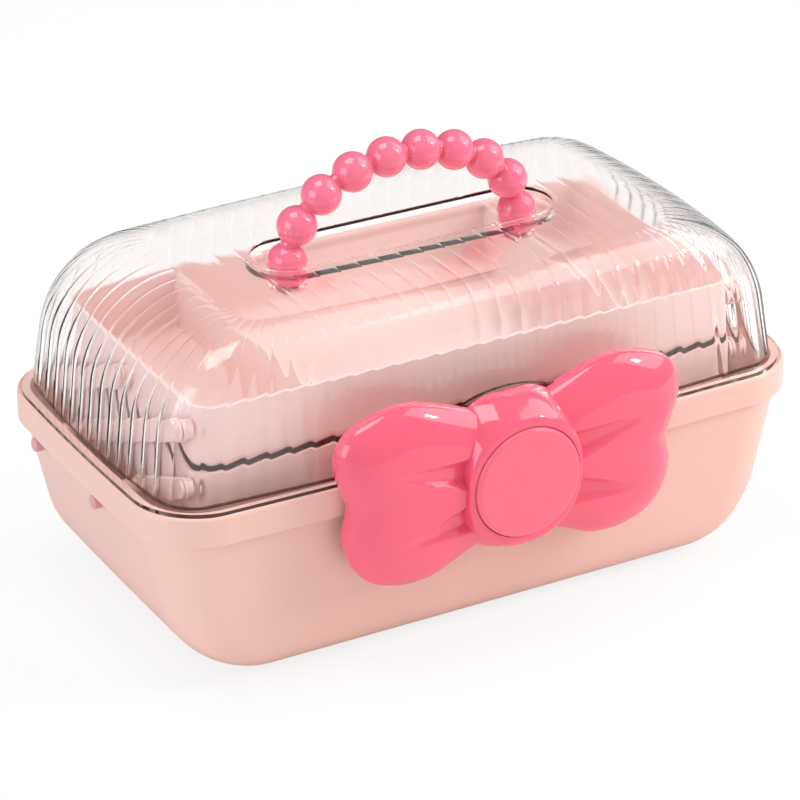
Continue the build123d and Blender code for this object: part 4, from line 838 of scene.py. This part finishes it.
springs = rings_object("button_spring_pair", spring_rings(-1), steel)
carve(springs, [("UNION", rings_object("spring", spring_rings(1), steel))])
springs.data.shade_smooth()
springs.data.set_sharp_from_angle(angle=math.radians(50))
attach(springs, "base")
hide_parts("button_springs")
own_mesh(springs)

# ---------------------------------------------------------------- catch
# Springy strip of pale plastic behind the button, held to the tub by two small screws.
# Its nose holds the lip of the lid's hasp until the button bends it away.
catch_plastic = moulded_plastic("catch_plastic", (0.86, 0.83, 0.80), (0.82, 0.79, 0.76), 0.38)
finish_node("catch_tongue", catch_plastic)
finish_node("catch_screws", steel)

# ---------------------------------------------------------------- stage
# White floor and white surroundings, as behind a catalogue photograph. Soft lamps stand to
# the right, to the left and overhead, with a small bright window that the gloss mirrors.
FLOOR_REACH = 3.0
FLOOR_WHITE, FLOOR_ROUGHNESS = (0.95, 0.95, 0.95, 1.0), 0.9
FLOOR_GLOW_SEEN = 0.8        # the camera sees the shadow at a fifth of its strength
FLOOR_DIM_MIRRORED = 0.3     # reflections see a darker floor
SKY_STRENGTH = 0.54
DIM_FROM, DIM_TO = 0.2, 0.7  # how far towards the back the dim part of the studio starts and is full
DIM_BY = 0.40
floor_mesh = bpy.data.meshes.new("floor")
corners = [(-1, -1), (1, -1), (1, 1), (-1, 1)]
floor_mesh.from_pydata([(x * FLOOR_REACH, y * FLOOR_REACH, 0) for x, y in corners], [], [(0, 1, 2, 3)])
floor = bpy.data.objects.new("floor", floor_mesh)
bpy.context.scene.collection.objects.link(floor)
floor_paint = bpy.data.materials.new("floor_paint")
floor_paint.use_nodes = True
nodes, links = floor_paint.node_tree.nodes, floor_paint.node_tree.links
nodes["Principled BSDF"].inputs["Base Color"].default_value = FLOOR_WHITE
nodes["Principled BSDF"].inputs["Roughness"].default_value = FLOOR_ROUGHNESS
glow, blend = nodes.new("ShaderNodeEmission"), nodes.new("ShaderNodeMixShader")
seen = nodes.new("ShaderNodeLightPath")
camera_share, not_through, mirror_share, share = [nodes.new("ShaderNodeMath") for _ in range(4)]
camera_share.operation = mirror_share.operation = "MULTIPLY"
not_through.operation, share.operation = "SUBTRACT", "MAXIMUM"
camera_share.inputs[1].default_value = FLOOR_GLOW_SEEN
links.new(seen.outputs["Is Camera Ray"], camera_share.inputs[0])
links.new(seen.outputs["Is Glossy Ray"], not_through.inputs[0])
links.new(seen.outputs["Is Transmission Ray"], not_through.inputs[1])
mirror_share.inputs[1].default_value = FLOOR_DIM_MIRRORED
links.new(not_through.outputs[0], mirror_share.inputs[0])
links.new(camera_share.outputs[0], share.inputs[0])
links.new(mirror_share.outputs[0], share.inputs[1])
links.new(seen.outputs["Is Camera Ray"], glow.inputs["Strength"])
links.new(share.outputs[0], blend.inputs["Fac"])
links.new(nodes["Principled BSDF"].outputs[0], blend.inputs[1])
links.new(glow.outputs[0], blend.inputs[2])
links.new(blend.outputs[0], nodes["Material Output"].inputs["Surface"])
floor_mesh.materials.append(floor_paint)

world = bpy.data.worlds.new("studio")
bpy.context.scene.world = world
world.use_nodes = True
nodes, links = world.node_tree.nodes, world.node_tree.links
sky, white = nodes["Background"], nodes.new("ShaderNodeBackground")
for background in (sky, white):
    background.inputs["Color"].default_value = (1.0, 1.0, 1.0, 1.0)
white.inputs["Strength"].default_value = 1.0
path, either = nodes.new("ShaderNodeLightPath"), nodes.new("ShaderNodeMath")
either.operation = "MAXIMUM"
blend = nodes.new("ShaderNodeMixShader")
links.new(path.outputs["Is Camera Ray"], either.inputs[0])
links.new(path.outputs["Is Transmission Ray"], either.inputs[1])
links.new(either.outputs[0], blend.inputs["Fac"])
links.new(sky.outputs[0], blend.inputs[1])
links.new(white.outputs[0], blend.inputs[2])
links.new(blend.outputs[0], nodes["World Output"].inputs["Surface"])
# Reflections see a dim studio behind the case, so the clear edges draw thin dark lines.
place, split = nodes.new("ShaderNodeTexCoord"), nodes.new("ShaderNodeSeparateXYZ")
dim = nodes.new("ShaderNodeMapRange")
links.new(place.outputs["Generated"], split.inputs[0])
links.new(split.outputs["Y"], dim.inputs["Value"])
dim.inputs["From Min"].default_value, dim.inputs["From Max"].default_value = DIM_FROM, DIM_TO
dim.inputs["To Min"].default_value, dim.inputs["To Max"].default_value = 0.0, DIM_BY
mirrored, strength = nodes.new("ShaderNodeMath"), nodes.new("ShaderNodeMath")
mirrored.operation, strength.operation = "MULTIPLY", "SUBTRACT"
strength.inputs[0].default_value = SKY_STRENGTH
links.new(dim.outputs[0], mirrored.inputs[0])
links.new(path.outputs["Is Glossy Ray"], mirrored.inputs[1])
links.new(mirrored.outputs[0], strength.inputs[1])
links.new(strength.outputs[0], sky.inputs["Strength"])

LIT_POINT = Vector((0, 0, 0.08))


def lamp(name, toward, distance, size, radiance, colour=(1.0, 1.0, 1.0)):
    """Soft rectangular lamp in a direction from the middle of the case, facing back along it."""
    data = bpy.data.lights.new(name, "AREA")
    data.shape = "RECTANGLE"
    data.size, data.size_y = size
    data.energy = radiance * math.pi * size[0] * size[1]
    data.color = colour
    item = bpy.data.objects.new(name, data)
    bpy.context.scene.collection.objects.link(item)
    item.location = LIT_POINT + Vector(toward).normalized() * distance
    item.rotation_euler = (-Vector(toward)).to_track_quat("-Z", "Y").to_euler()
    return item


lamp("panel", (0.72, -0.20, 0.66), 1.5, (1.2, 1.2), 2.1, (1.0, 0.97, 0.94))
lamp("window", (0.68, -0.44, 0.605), 1.5, (0.10, 0.20), 30.0)
lamp("key", (0.80, -0.50, 0.40), 1.5, (0.55, 0.55), 6.6, (1.0, 0.97, 0.94)).visible_glossy = False
lamp("fill", (-0.95, -0.12, 0.33), 1.8, (1.2, 1.0), 2.5, (0.82, 1.0, 1.14))
lamp("over", (-0.25, 0.1, 1.0), 1.7, (0.9, 0.9), 4.0)

# ---------------------------------------------------------------- camera
# Long lens from the front left and above. It was fitted to the rims of the trays, the lid's
# flange and the handle in the photograph.
PHOTO_WIDTH = 800            # pixels
FOCAL = 3694.9               # pixels
SHIFT = (-3.47, -1.65)       # pixels
SENSOR_WIDTH = 36.0
azimuth, elevation, distance = math.radians(-29.23), math.radians(26.86), 1.65566
aim = Vector((0.0, MIDDLE_Y, 0.07448))
back = Vector((math.sin(azimuth) * math.cos(elevation), -math.cos(azimuth) * math.cos(elevation),
               math.sin(elevation)))
camera_data = bpy.data.cameras.new("camera")
camera_data.sensor_width = SENSOR_WIDTH
camera_data.lens = SENSOR_WIDTH * FOCAL / PHOTO_WIDTH
camera_data.shift_x = SHIFT[0] / PHOTO_WIDTH
camera_data.shift_y = SHIFT[1] / PHOTO_WIDTH
camera_data.clip_start, camera_data.clip_end = 0.05, 20
camera = bpy.data.objects.new("camera", camera_data)
bpy.context.scene.collection.objects.link(camera)
camera.location = aim + back * distance
camera.rotation_mode = "QUATERNION"
camera.rotation_quaternion = (-back).to_track_quat("-Z", "Y")
bpy.context.scene.camera = camera
bpy.context.scene.view_settings.view_transform = "Standard"
